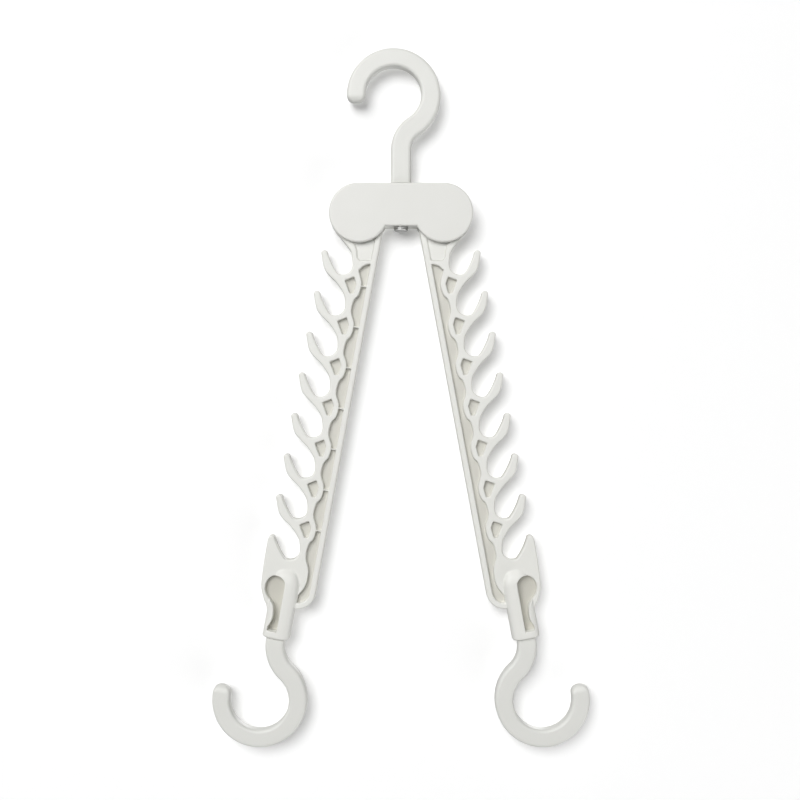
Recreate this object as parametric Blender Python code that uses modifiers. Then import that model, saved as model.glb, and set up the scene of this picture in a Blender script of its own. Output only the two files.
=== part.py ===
"""Space saving hanger: a hook over a flat housing that carries two folding arms, each with a row of
cradles for garment hangers and a turning hook at its end.

Metres, +Z up. The front faces -Y and the pieces are mirrored about the plane Y = 0 in depth. The origin is
the saddle of the top hook, where it sits on a rod.
"""

import math

import bmesh
import bpy
from mathutils import Matrix, Vector

# Fits and overruns
GAP = 0.0003                 # clearance between two pieces
WELD = 0.00001               # merge distance
OVERRUN = 0.0020             # how far a cutter or a joined form runs past a face
SINK = 0.0005                # how far one form is let into the next before they are joined

# Top hook, measured on the centre line
TOP_LOOP_RADIUS = 0.0253
TOP_BEND_RADIUS = 0.0192
TOP_OFFSET = 0.0051          # from the swivel axis to the loop's centre
TOP_STRAIGHT = 0.0228
TOP_TIP = 0.0050
TOP_WIDTH = 0.0136
TOP_DEPTH = 0.0090
TOP_TIP_ROUND = 0.0028
CROWN_SHARE = 0.92           # the loop is slimmer at its crown than at the stem

# End hooks
END_LOOP_RADIUS = 0.0260
END_BEND_RADIUS = 0.0239
END_OFFSET = 0.0032
END_STRAIGHT = 0.0010
END_TIP = 0.0056
END_WIDTH = 0.0126
END_DEPTH = 0.0100
END_TIP_ROUND = 0.0055
END_CROWN_SHARE = 0.94
HOOK_EDGE_ROUND = 0.0022

# Swivels
TOP_JOURNAL_RADIUS = 0.0040
END_JOURNAL_RADIUS = 0.0035
SCREW_RADIUS = 0.0015
SCREW_HEAD_RADIUS = 0.0047
SCREW_HEAD_HEIGHT = 0.0016
TOP_SCREW_LENGTH = 0.0180
END_SCREW_LENGTH = 0.0105
WASHER_RADIUS = 0.0050
WASHER_THICKNESS = 0.0008
DRIVE_WIDTH = 0.0011
DRIVE_SPAN = 0.0044
DRIVE_DEPTH = 0.0012
DRIVE_TAPER_SHARE = 0.75     # the cross recess narrows to its tips
POINT_SHARE = 0.35           # of the shank's radius, at its very end

# A screw head's outer side as (radius, height) shares, from its middle down to its seat
HEAD_SHARES = ((0.00, 1.00), (0.70, 1.00), (0.93, 0.79), (1.00, 0.44), (1.00, 0.00))

# Housing
PIVOT_SPACING = 0.0570
LOBE_RADIUS = 0.0200
BRIDGE_DROP = 0.0090         # from the pivot line down to the bridge's underside
BODY_DEPTH = 0.0150
COVER_EDGE_ROUND = 0.0012
PARTING_STEP = 0.0004        # the side wall stands back from the cover's edge
BOSS_RADIUS = 0.0050
COVER_SCREW_RADIUS = 0.0015
COVER_SCREW_LENGTH = 0.0100
COVER_HEAD_RADIUS = 0.0032
COVER_HEAD_HEIGHT = 0.0017
HEAD_RECESS = 0.0020
BRIDGE_SCREW_OFFSET = 0.0105
BRIDGE_SCREW_RISE = 0.0125

# Arms
ARM_TILT = math.radians(10.5)
SWING_SPARE = 1.0            # the least degrees past level before an arm meets its stop
ARM_DEPTH = 0.0080
WEB = 0.0016
HEAD_RADIUS = 0.0180
HEAD_END = 58                # degrees from the arm's line, where its shoulder leaves the head's circle
RAIL_WIDTH = 0.0039
FINGERS = 8
PITCH = 0.0280
FIRST_SLOT = 0.0360          # from the pivot along the arm to the first cradle's centre
FOOT_LENGTH = 0.0606         # from the last cradle's centre to the barrel's mouth
SLOT_RADIUS = 0.0068
SLOT_OUT = 0.0046            # from the arm's line outwards to a cradle's centre
TIP_RADIUS = 0.0023
TIP_OUT = 0.0178
TIP_RISE = 0.0051            # from a cradle's centre up to its finger's tip centre
RIB = 0.0008
RIB_ALONG_SHARE = 0.43
NECK_RECESS = 0.0012
POCKET_ROUND = 0.0008
J_OUTER_RADIUS = 0.0120
J_RISE = 0.0339              # from the barrel's mouth up to the centre of the J's curve
J_INSIDE_SHARE = 0.97        # where the channel's edge leaves the barrel for the J's inner curve
J_INSIDE_START = -20         # degrees

# Arm outlines as (outwards, along) shares of the pitch, counted from a cradle's centre
SHOULDER_SHARES = ((0.493, -0.825), (0.330, -0.631), (0.089, -0.414), (-0.012, -0.272))
INNER_FLANK_SHARES = ((0.340, 0.123), (0.472, -0.053))
OUTER_FLANK_SHARES = ((0.700, -0.133), (0.552, 0.212), (0.214, 0.472), (0.010, 0.694), (-0.048, 0.830))
POCKET_SHARES = ((-0.169, 0.239), (0.039, 0.364), (-0.135, 0.651), (-0.227, 0.643), (-0.251, 0.402))
CHANNEL_TOP_SHARES = ((-0.410, -0.104), (-0.325, -0.043), (-0.265, 0.040))
SPINE_SHARES = ((-0.251, 0.084), (-0.370, 0.360), (-0.353, 0.640), (-0.265, 0.795))
NECK_SHARES = ((-0.500, -0.224), (-0.229, -0.157), (-0.152, -0.224), (-0.120, -0.369), (-0.036, -0.525),
               (0.096, -0.646), (0.048, -0.754), (-0.500, -0.850))

# The foot's outline: the outwards shares are of the pitch too, and the shares along it are of the length
# from the last cradle's centre to the barrel's mouth, or to the J's curve
END_FLANK_SHARES = ((0.728, -0.028), (0.721, 0.169), (0.700, 0.365), (0.668, 0.478), (0.564, 0.591),
                    (0.465, 0.664), (0.372, 0.808))
END_LOBE_SHARES = ((-0.251, 0.106), (-0.373, 0.434), (-0.369, 0.813), (-0.231, 1.105))

# Barrel at the foot of each arm
BARREL_RADIUS = 0.0093
BARREL_OUT = 0.0030          # from the arm's line outwards to the barrel's axis
BARREL_LENGTH = 0.0366
BARREL_RAMP = 0.0120
BARREL_EDGE_ROUND = 0.0016
BARREL_CORE_SHARE = 0.76     # how far the flat arm reaches inside the round barrel
BARREL_FLOOR = 0.0030
SCREW_ROOM_RADIUS = 0.0052
SCREW_ROOM_HEIGHT = 0.0024
KEYHOLE_RADIUS = 0.0068
KEYHOLE_OUT = 0.0095
KEYHOLE_RISE = 0.0351        # from the barrel's mouth up to the keyhole's centre

# Keyhole outline as (outwards, along) shares of its radius, counted from its round end's centre
KEYHOLE_SHARES = ((0.99, 0.00), (0.99, 0.35), (0.86, 0.82), (0.54, 1.24), (0.15, 1.58), (-0.14, 1.98),
                  (-0.28, 2.57), (-0.30, 3.17), (-0.18, 3.66), (0.00, 4.02), (0.00, 4.33), (-0.12, 4.44),
                  (-0.84, 4.44), (-0.96, 4.31), (-0.96, 2.00), (-0.94, -0.15), (-0.80, -0.62),
                  (-0.47, -0.90), (-0.05, -1.00), (0.42, -0.88), (0.80, -0.54))

# Places that follow from the sizes
COVER_INNER = ARM_DEPTH / 2 + GAP
TOP_DROP = math.sqrt((TOP_LOOP_RADIUS + TOP_BEND_RADIUS) ** 2 - (TOP_OFFSET + TOP_BEND_RADIUS) ** 2)
STEM_END_Z = -(TOP_LOOP_RADIUS - TOP_WIDTH * CROWN_SHARE / 2) - TOP_DROP - TOP_STRAIGHT
PIVOT_Z = STEM_END_Z - GAP - LOBE_RADIUS
SWIVEL_X = TOP_OFFSET
BRIDGE_Z = PIVOT_Z - BRIDGE_DROP
RAIL_EDGE = -HEAD_RADIUS
RAIL_INNER = RAIL_EDGE + RAIL_WIDTH
LAST_SLOT = FIRST_SLOT + (FINGERS - 1) * PITCH
ARM_LENGTH = LAST_SLOT + FOOT_LENGTH    # from the pivot to the barrel's mouth
BARREL_TOP = ARM_LENGTH - BARREL_LENGTH
SCREW_ROOM_FOOT = ARM_LENGTH - BARREL_FLOOR
J_ALONG = ARM_LENGTH - J_RISE

# Steps round curves
ROUND_STEPS = 28
SMALL_STEPS = 16
SLOT_STEPS = 9
TIP_STEPS = 5
HEAD_STEPS = 16
LOOP_STEPS = 26
BEND_STEPS = 7
RAMP_STEPS = 6
EDGE_STEPS = 4
TIP_LEAN = math.radians(78)  # how far a hook's tip is rounded over before its flat end
SMOOTH_AUTO = math.radians(35)
FLAT = math.radians(0.2)

UPRIGHT = Matrix(((1, 0, 0, 0), (0, 0, -1, 0), (0, 1, 0, 0), (0, 0, 0, 1)))    # from the XY plane to XZ

WHITE = (0.80, 0.80, 0.77, 1.0)
HOOK_WHITE = (0.76, 0.76, 0.73, 1.0)
STEEL = (0.56, 0.56, 0.57, 1.0)


def clear_scene():
    for item in list(bpy.data.objects):
        bpy.data.objects.remove(item, do_unlink=True)


def new_collection(name):
    group = bpy.data.collections.new(name)
    bpy.context.scene.collection.children.link(group)
    return group


def material(name, color, roughness, metallic=0.0):
    made = bpy.data.materials.new(name)
    made.use_nodes = True
    shader = made.node_tree.nodes["Principled BSDF"]
    shader.inputs["Base Color"].default_value = color
    shader.inputs["Roughness"].default_value = roughness
    shader.inputs["Metallic"].default_value = metallic
    return made


clear_scene()
parts = new_collection("space_saving_hanger")
cutters = new_collection("cutters")
housing_plastic = material("housing_plastic", WHITE, 0.42)
arm_plastic = material("arm_plastic", WHITE, 0.45)
hook_plastic = material("hook_plastic", HOOK_WHITE, 0.40)
steel = material("steel", STEEL, 0.28, 1.0)


# Outlines

def arc(centre, radius, start, end, steps):
    """Points of an arc about centre, from the angle start to end in degrees."""
    points = []
    for i in range(steps + 1):
        angle = math.radians(start + (end - start) * i / steps)
        points.append((centre[0] + radius * math.cos(angle), centre[1] + radius * math.sin(angle)))
    return points


def circles(centres, radius, steps):
    return [arc(centre, radius, 0, 360, steps)[:-1] for centre in centres]


def flow(points, cuts):
    """A smooth line through points, each stretch cut in cuts; the ends lead the curve in and out."""
    line = []
    for before, here, after, beyond in zip(points, points[1:], points[2:], points[3:]):
        for i in range(cuts):
            t = i / cuts
            spot = []
            for a, b, c, d in zip(before, here, after, beyond):
                spot.append(0.5 * (2 * b + (c - a) * t + (2 * a - 5 * b + 4 * c - d) * t ** 2
                                   + (3 * b - a - 3 * c + d) * t ** 3))
            line.append(tuple(spot))
    line.append(points[-2])
    return line


def filleted(points, radius, steps):
    """A closed outline with each corner rounded by radius."""
    outline = []
    count = len(points)
    for i, corner in enumerate(points):
        here = Vector(corner)
        back = (Vector(points[i - 1]) - here)
        ahead = (Vector(points[(i + 1) % count]) - here)
        half = back.angle(ahead) / 2
        reach = min(radius / math.tan(half), 0.45 * back.length, 0.45 * ahead.length)
        start = here + back.normalized() * reach
        end = here + ahead.normalized() * reach
        for k in range(steps + 1):
            t = k / steps
            outline.append(tuple((1 - t) ** 2 * start + 2 * t * (1 - t) * here + t ** 2 * end))
    return outline


def from_shares(shares, unit, along, stretch=None):
    """Arm points (along, outwards) of a table of (outwards, along) shares of unit, from a place along.

    The shares along the arm are of the length stretch where one is given.
    """
    return [(along + a * (stretch or unit), out * unit) for out, a in shares]


# Solids

def place_mesh(name, mesh, group):
    made = bpy.data.objects.new(name, mesh)
    group.objects.link(made)
    if group is cutters:
        made.hide_render = True
        made.display_type = 'WIRE'
    return made


def baked(source, name, merge_flat=True):
    """The evaluated mesh of an object in world space, welded and with its flat faces merged."""
    bpy.context.view_layer.update()
    graph = bpy.context.evaluated_depsgraph_get()
    mesh = bpy.data.meshes.new_from_object(source.evaluated_get(graph))
    mesh.name = name
    mesh.transform(source.matrix_world)
    bpy.data.objects.remove(source, do_unlink=True)
    form = bmesh.new()
    form.from_mesh(mesh)
    bmesh.ops.remove_doubles(form, verts=form.verts, dist=WELD)
    if merge_flat:
        bmesh.ops.dissolve_degenerate(form, edges=form.edges, dist=WELD)
        bmesh.ops.dissolve_limit(form, angle_limit=FLAT, verts=form.verts, edges=form.edges)
    bmesh.ops.recalc_face_normals(form, faces=form.faces)
    form.to_mesh(mesh)
    form.free()
    return mesh


def discard(*tools):
    for tool in tools:
        bpy.data.objects.remove(tool, do_unlink=True)


def settled(piece, group, *tools):
    """The piece as a plain mesh in a group, once the tools that cut or joined it are gone."""
    name = piece.name
    whole = place_mesh(name, baked(piece, name), group)
    discard(*tools)
    return whole


def filled_outline(name, loops, depth, half_thickness):
    """A flat outline in the XZ plane at the depth Y; a loop inside another is a hole in it."""
    curve = bpy.data.curves.new(name, 'CURVE')
    curve.dimensions = '2D'
    curve.fill_mode = 'BOTH'
    curve.extrude = half_thickness
    for loop in loops:
        spline = curve.splines.new('POLY')
        spline.points.add(len(loop) - 1)
        for point, (x, z) in zip(spline.points, loop):
            point.co = (x, z, 0.0, 1.0)
        spline.use_cyclic_u = True
    outline = bpy.data.objects.new(name, curve)
    cutters.objects.link(outline)
    outline.matrix_world = Matrix.Translation((0, depth, 0)) @ UPRIGHT
    return outline


def prism(name, loops, front, back, group=cutters):
    """A solid between the depths Y = front and back with flat outlines in the XZ plane."""
    outline = filled_outline(name, loops, (front + back) / 2, (back - front) / 2)
    return place_mesh(name, baked(outline, name), group)


def open_edges(form):
    return [edge for edge in form.edges if len(edge.link_faces) == 1]


def draw_walls(form, edges, shift):
    """Extrudes edges along Y and welds the new walls to what they meet."""
    made = bmesh.ops.extrude_edge_only(form, edges=edges)["geom"]
    corners = [item for item in made if isinstance(item, bmesh.types.BMVert)]
    bmesh.ops.translate(form, verts=corners, vec=(0, shift, 0))
    bmesh.ops.remove_doubles(form, verts=form.verts, dist=WELD)


def add_half_plate(form, facing, half, loops, hollows):
    """One half of a plate, from its face at the depth half down to the open middle plane.

    The loops are its outline and its through holes, and each hollow is a loop with the depth of its floor.
    """
    face = filled_outline("face", loops + [loop for loop, floor in hollows], facing * half, 0)
    plate = bmesh.new()
    for loop, floor in hollows:
        ground = filled_outline("ground", [loop], facing * floor, 0)
        hollow = bmesh.new()
        hollow.from_mesh(baked(ground, "ground", merge_flat=False))
        draw_walls(hollow, open_edges(hollow), facing * (half - floor))
        part = bpy.data.meshes.new("hollow")
        hollow.to_mesh(part)
        hollow.free()
        plate.from_mesh(part)
    plate.from_mesh(baked(face, "face", merge_flat=False))
    bmesh.ops.remove_doubles(plate, verts=plate.verts, dist=WELD)
    draw_walls(plate, open_edges(plate), -facing * half)
    whole = bpy.data.meshes.new("half_plate")
    plate.to_mesh(whole)
    plate.free()
    form.from_mesh(whole)


def turned(name, profile, steps, group=cutters, ring=False):
    """A turned solid about its own Z axis; the profile (radius, height) runs down its outer side.

    A ring's profile closes on itself, and any other starts and ends on the axis.
    """
    mesh = bpy.data.meshes.new(name)
    edges = [(i, i + 1) for i in range(len(profile) - 1)]
    if ring:
        edges.append((len(profile) - 1, 0))
    mesh.from_pydata([(radius, 0.0, height) for radius, height in profile], edges, [])
    made = place_mesh(name, mesh, group)
    screw = made.modifiers.new("turn", 'SCREW')
    screw.steps = steps
    screw.render_steps = steps
    screw.use_merge_vertices = True
    screw.merge_threshold = WELD
    return made


def rod(name, radius, top, foot, steps=ROUND_STEPS, group=cutters):
    """A plain round solid about its own Z axis."""
    return turned(name, [(0, top), (radius, top), (radius, foot), (0, foot)], steps, group)


def boolean(target, other, operation):
    change = target.modifiers.new(operation.lower(), 'BOOLEAN')
    change.operation = operation
    change.object = other
    change.solver = 'EXACT'


def cut(target, *tools):
    for tool in tools:
        boolean(target, tool, 'DIFFERENCE')


def join(target, *others):
    for other in others:
        boolean(target, other, 'UNION')


def finish(piece, finish_material):
    piece.data.materials.clear()
    piece.data.materials.append(finish_material)
    piece.data.shade_smooth()
    piece.data.set_sharp_from_angle(angle=SMOOTH_AUTO)


def empty_at(name, place, turn=0.0):
    mark = bpy.data.objects.new(name, None)
    parts.objects.link(mark)
    mark.location = place
    mark.rotation_euler = (0, turn, 0)
    return mark


# Hooks

def hook_path(loop_radius, bend_radius, offset, straight, tip, crown_share, tip_round, width):
    """The centre line of a hook (x, z, width share) from its stem's end at the origin up round the loop.

    The stem bends to +X, and the loop returns over the top to a tip on the -X side.
    """
    rise = math.sqrt((loop_radius + bend_radius) ** 2 - (offset + bend_radius) ** 2)
    meet = math.degrees(math.atan2(rise, -(offset + bend_radius)))
    path = [(0, 0, 1.0)]
    for x, z in arc((bend_radius, straight), bend_radius, 180, meet, BEND_STEPS):
        path.append((x, z, 1.0))
    start = meet - 180
    loop = arc((-offset, straight + rise), loop_radius, start + 360, 540, LOOP_STEPS)[1:-1]
    for i, (x, z) in enumerate(loop):
        share = 1 - (1 - crown_share) * min(1.0, 2 * (i + 1) / LOOP_STEPS)
        path.append((x, z, share))
    side = -offset - loop_radius
    level = straight + rise
    blunt = tip_round / (width * crown_share / 2)
    for i in range(TIP_STEPS + 1):
        lean = TIP_LEAN * i / TIP_STEPS
        share = crown_share * (1 - blunt * (1 - math.cos(lean)))
        path.append((side, level - tip + tip_round * (1 - math.sin(lean)), share))
    return path


def hook_section(name, width, depth):
    """The guide for a hook's section: a flat oblong with rounded edges."""
    side = width / 2
    face = depth / 2
    corners = [(side, face), (-side, face), (-side, -face), (side, -face)]
    curve = bpy.data.curves.new(name, 'CURVE')
    curve.dimensions = '2D'
    spline = curve.splines.new('POLY')
    loop = filleted(corners, HOOK_EDGE_ROUND, 2)
    spline.points.add(len(loop) - 1)
    for point, (x, y) in zip(spline.points, loop):
        point.co = (x, y, 0.0, 1.0)
    spline.use_cyclic_u = True
    guide = bpy.data.objects.new(name, curve)
    cutters.objects.link(guide)
    guide.hide_render = True
    guide.display_type = 'WIRE'
    return guide


def hook_form(name, path, width, depth):
    """A hook's solid in the XZ plane: its section carried along the centre line."""
    guide = hook_section(name + "_section", width, depth)
    curve = bpy.data.curves.new(name, 'CURVE')
    curve.dimensions = '2D'
    curve.bevel_mode = 'OBJECT'
    curve.bevel_object = guide
    curve.use_fill_caps = True
    spline = curve.splines.new('POLY')
    spline.points.add(len(path) - 1)
    for point, (x, z, share) in zip(spline.points, path):
        point.co = (x, z, 0.0, 1.0)
        point.radius = share
    line = bpy.data.objects.new(name, curve)
    cutters.objects.link(line)
    line.matrix_world = UPRIGHT
    mesh = baked(line, name)
    discard(guide)
    return mesh


def screw_form(name, radius, length, head_radius, head_height):
    """A pan head screw about its own Z axis: the head stands above Z = 0 and the shank runs down."""
    profile = [(head_radius * out, head_height * up) for out, up in HEAD_SHARES]
    profile += [(radius, 0), (radius, -length + radius), (radius * POINT_SHARE, -length), (0, -length)]
    body = turned(name + "_body", profile, SMALL_STEPS)
    long = DRIVE_SPAN / 2 * head_radius / SCREW_HEAD_RADIUS
    thin = DRIVE_WIDTH / 2
    tip = thin * DRIVE_TAPER_SHARE
    cross = [(long, tip), (thin, thin), (tip, long), (-tip, long), (-thin, thin), (-long, tip), (-long, -tip),
             (-thin, -thin), (-tip, -long), (tip, -long), (thin, -thin), (long, -tip)]
    drive = prism(name + "_drive", [cross], -head_height - OVERRUN, -head_height + DRIVE_DEPTH)
    drive.data.transform(Matrix.Rotation(-math.pi / 2, 4, 'X'))
    cut(body, drive)
    mesh = baked(body, name)
    discard(drive)
    return mesh


def make_top_hook():
    path = hook_path(TOP_LOOP_RADIUS, TOP_BEND_RADIUS, TOP_OFFSET, TOP_STRAIGHT, TOP_TIP, CROWN_SHARE,
                     TOP_TIP_ROUND, TOP_WIDTH)
    hook = place_mesh("top_hook", hook_form("top_hook", path, TOP_WIDTH, TOP_DEPTH), parts)
    hook.location = (SWIVEL_X, 0, STEM_END_Z)
    journal = rod("top_journal", TOP_JOURNAL_RADIUS, OVERRUN, BRIDGE_Z - STEM_END_Z)
    pilot = rod("top_pilot", SCREW_RADIUS + GAP, BRIDGE_Z - STEM_END_Z + TOP_SCREW_LENGTH,
                BRIDGE_Z - STEM_END_Z - OVERRUN, SMALL_STEPS)
    journal.parent = hook
    pilot.parent = hook
    join(hook, journal)
    cut(hook, pilot)
    finish(hook, hook_plastic)

    seat = BRIDGE_Z - GAP
    hole = SCREW_RADIUS + GAP
    section = [(hole, 0), (WASHER_RADIUS, 0), (WASHER_RADIUS, -WASHER_THICKNESS), (hole, -WASHER_THICKNESS)]
    washer = turned("swivel_washer", section, SMALL_STEPS, parts, ring=True)
    washer.location = (SWIVEL_X, 0, seat)
    finish(washer, steel)
    screw_mesh = screw_form("swivel_screw", SCREW_RADIUS, TOP_SCREW_LENGTH - OVERRUN, SCREW_HEAD_RADIUS,
                            SCREW_HEAD_HEIGHT)
    swivel_screw = place_mesh("swivel_screw", screw_mesh, parts)
    swivel_screw.location = (SWIVEL_X, 0, seat - WASHER_THICKNESS - GAP)
    swivel_screw.rotation_euler = (math.pi, 0, 0)
    finish(swivel_screw, steel)


# Housing

def dogbone(inset):
    """The housing's outline: two lobes under one flat top, with the bridge's straight underside."""
    radius = LOBE_RADIUS - inset
    notch = math.degrees(math.asin((BRIDGE_DROP - inset) / radius))
    left = (SWIVEL_X - PIVOT_SPACING / 2, PIVOT_Z)
    right = (SWIVEL_X + PIVOT_SPACING / 2, PIVOT_Z)
    return (arc(left, radius, 90, 360 - notch, ROUND_STEPS)
            + arc(right, radius, 180 + notch, 450, ROUND_STEPS))


def arm_to_world(points, side):
    """Arm points (along, outwards) of an arm at rest, as world X and Z; side is -1 for the left arm."""
    turn = Vector((math.sin(ARM_TILT), math.cos(ARM_TILT)))
    pivot = SWIVEL_X + side * PIVOT_SPACING / 2
    return [(pivot + side * (along * turn[0] + out * turn[1]), PIVOT_Z - along * turn[1] + out * turn[0])
            for along, out in points]


def swing_room(side):
    """The room in the housing's core that one arm sweeps, from its rail at rest to its stop when level."""
    radius = HEAD_RADIUS + GAP
    stop = HEAD_END + 90 - math.degrees(ARM_TILT) + SWING_SPARE
    far = PIVOT_SPACING
    points = arc((0, 0), radius, 270, stop, ROUND_STEPS)
    points += arc((0, 0), far, stop, 0, 4)
    points.append((far, -radius))
    return prism(f"swing_room_{side}", [arm_to_world(points, side)], -BODY_DEPTH, BODY_DEPTH)


def make_cover(name, facing, rooms):
    """One half of the housing; facing is -1 for the front and 1 for the back."""
    def depths(near, far):
        return sorted((facing * near, facing * far))

    outer = BODY_DEPTH / 2
    cover = prism(name, [dogbone(0)], *depths(outer, COVER_INNER), group=parts)
    form = bmesh.new()
    form.from_mesh(cover.data)
    rim = []
    for edge in form.edges:
        on_face = all(abs(v.co.y - facing * outer) < WELD for v in edge.verts)
        if on_face and edge.calc_face_angle() > SMOOTH_AUTO:
            rim.append(edge)
    bmesh.ops.bevel(form, geom=rim, offset=COVER_EDGE_ROUND, segments=3, profile=0.5, affect='EDGES')
    form.to_mesh(cover.data)
    form.free()

    core = prism(name + "_core", [dogbone(PARTING_STEP)], *depths(COVER_INNER + SINK, GAP / 2))
    cut(core, *rooms)
    core = settled(core, cutters)
    join(cover, core)
    cut(cover, swivel_bore)
    return settled(cover, parts, core)


def make_housing():
    rooms = [swing_room(-1), swing_room(1)]
    front = make_cover("front_cover", -1, rooms)
    back = make_cover("back_cover", 1, rooms)
    pivots = [(SWIVEL_X + side * PIVOT_SPACING / 2, PIVOT_Z) for side in (-1, 1)]
    bridge = [(SWIVEL_X + side * BRIDGE_SCREW_OFFSET, PIVOT_Z + BRIDGE_SCREW_RISE) for side in (-1, 1)]
    head_seat = BODY_DEPTH / 2 - HEAD_RECESS
    tip = head_seat - COVER_SCREW_LENGTH
    holes = circles(pivots + bridge, COVER_SCREW_RADIUS + GAP, SMALL_STEPS)
    heads = circles(pivots + bridge, COVER_HEAD_RADIUS + GAP, SMALL_STEPS)
    bosses = prism("bosses", circles(pivots, BOSS_RADIUS, ROUND_STEPS), -COVER_INNER - SINK, ARM_DEPTH / 2)
    pilots = prism("cover_pilots", holes, tip - GAP, COVER_INNER + OVERRUN)
    clearances = prism("cover_clearances", holes, -OVERRUN, head_seat + SINK)
    recesses = prism("cover_recesses", heads, head_seat, BODY_DEPTH)
    join(front, bosses)
    cut(front, pilots)
    cut(back, recesses, clearances)
    finish(settled(front, parts, bosses, pilots), housing_plastic)
    finish(settled(back, parts, recesses, clearances), housing_plastic)
    discard(swivel_bore, *rooms)

    mesh = screw_form("cover_screw", COVER_SCREW_RADIUS, COVER_SCREW_LENGTH, COVER_HEAD_RADIUS,
                      COVER_HEAD_HEIGHT)
    for kind, places in (("pivot", pivots), ("bridge", bridge)):
        for word, (x, z) in zip(("left", "right"), places):
            screw = place_mesh(f"{word}_{kind}_screw", mesh, parts)
            screw.location = (x, head_seat + GAP, z)
            screw.rotation_euler = (-math.pi / 2, 0, 0)
            finish(screw, steel)


# Arms, in their own frame: the pivot at the origin, the arm straight down, its fingers towards -X

def arm_loop(points):
    return [(-out, -along) for along, out in points]


def arm_outline():
    """The whole silhouette of an arm but its barrel, as (along, outwards)."""
    outline = arc((0, 0), HEAD_RADIUS, 270, HEAD_END, HEAD_STEPS)
    lead = outline[-2:]
    stretch = from_shares(SHOULDER_SHARES, PITCH, FIRST_SLOT)
    for k in range(FINGERS):
        centre = FIRST_SLOT + k * PITCH
        slot = arc((centre, SLOT_OUT), SLOT_RADIUS, -105, 15, SLOT_STEPS)
        tip = arc((centre - TIP_RISE, TIP_OUT), TIP_RADIUS, 262, 100, TIP_STEPS)
        outline += flow(lead + stretch + slot[:2], 2)[1:-1]
        outline += slot
        flank = from_shares(INNER_FLANK_SHARES, PITCH, centre)
        outline += flow(slot[-2:] + flank + tip[:2], 2)[1:-1]
        outline += tip
        lead = tip[-2:]
        stretch = from_shares(OUTER_FLANK_SHARES, PITCH, centre)
    mouth = ARM_LENGTH - 2 * BARREL_EDGE_ROUND
    foot = from_shares(END_FLANK_SHARES, PITCH, LAST_SLOT, FOOT_LENGTH)
    inside = BARREL_RADIUS * BARREL_CORE_SHARE
    foot += [(mouth, BARREL_OUT + inside), (mouth, BARREL_OUT - inside)]
    outline += flow(lead + foot[:-2] + [(ARM_LENGTH, foot[-3][1])], 2)[1:]
    outline += foot[-2:]
    j_centre = (J_ALONG, RAIL_EDGE + J_OUTER_RADIUS)
    outline += [(J_ALONG + J_OUTER_RADIUS, BARREL_OUT - inside)]
    outline += arc(j_centre, J_OUTER_RADIUS, 0, -90, SLOT_STEPS)
    return outline


def channel_loops(ribs):
    """The long channel between the rail and the spine, parted by ribs at the places along the arm."""
    spine = from_shares(CHANNEL_TOP_SHARES, PITCH, FIRST_SLOT)
    for k in range(FINGERS - 1):
        spine += from_shares(SPINE_SHARES, PITCH, FIRST_SLOT + k * PITCH)
    spine += from_shares(END_LOBE_SHARES, PITCH, LAST_SLOT, J_ALONG - LAST_SLOT)
    line = flow([spine[0]] + spine + [spine[-1]], 2)
    inner = J_OUTER_RADIUS - RAIL_WIDTH
    line.append((J_ALONG + inner * J_INSIDE_SHARE, BARREL_OUT - BARREL_RADIUS - PARTING_STEP))
    foot = arc((J_ALONG, RAIL_EDGE + J_OUTER_RADIUS), inner, J_INSIDE_START, -90, RAMP_STEPS)
    start = [(line[0][0] - POCKET_ROUND, RAIL_INNER)]
    loops = []
    for place in ribs:
        above = place - RIB / 2
        below = place + RIB / 2
        loops.append(start + [point for point in line if point[0] < above - WELD]
                     + [(above, out_at(line, above)), (above, RAIL_INNER)])
        start = [(below, RAIL_INNER), (below, out_at(line, below))]
        line = [point for point in line if point[0] > below + WELD]
    loops.append(start + line + foot)
    return loops


def out_at(line, along):
    """How far outwards a line of (along, outwards) points lies at a place along the arm."""
    for (a, out), (b, beyond) in zip(line, line[1:]):
        if a <= along <= b:
            return out + (beyond - out) * (along - a) / (b - a)
    return line[-1][1]


def make_barrel():
    """The round socket at an arm's foot, oval in its ramp where it grows out of the flat arm."""
    profile = [(0, BARREL_TOP - BARREL_RAMP)]
    for i in range(1, RAMP_STEPS + 1):
        angle = math.radians(90) * i / RAMP_STEPS
        profile.append((BARREL_RADIUS * math.sin(angle), BARREL_TOP - BARREL_RAMP * math.cos(angle)))
    edge = (BARREL_RADIUS - BARREL_EDGE_ROUND, ARM_LENGTH - BARREL_EDGE_ROUND)
    profile += arc(edge, BARREL_EDGE_ROUND, 0, 90, EDGE_STEPS)
    profile.append((0, ARM_LENGTH))
    barrel = turned("barrel", [(radius, -along) for radius, along in profile], ROUND_STEPS)
    barrel.location = (-BARREL_OUT, 0, 0)
    barrel.scale = (1, BODY_DEPTH / 2 / BARREL_RADIUS, 1)
    return barrel


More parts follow.
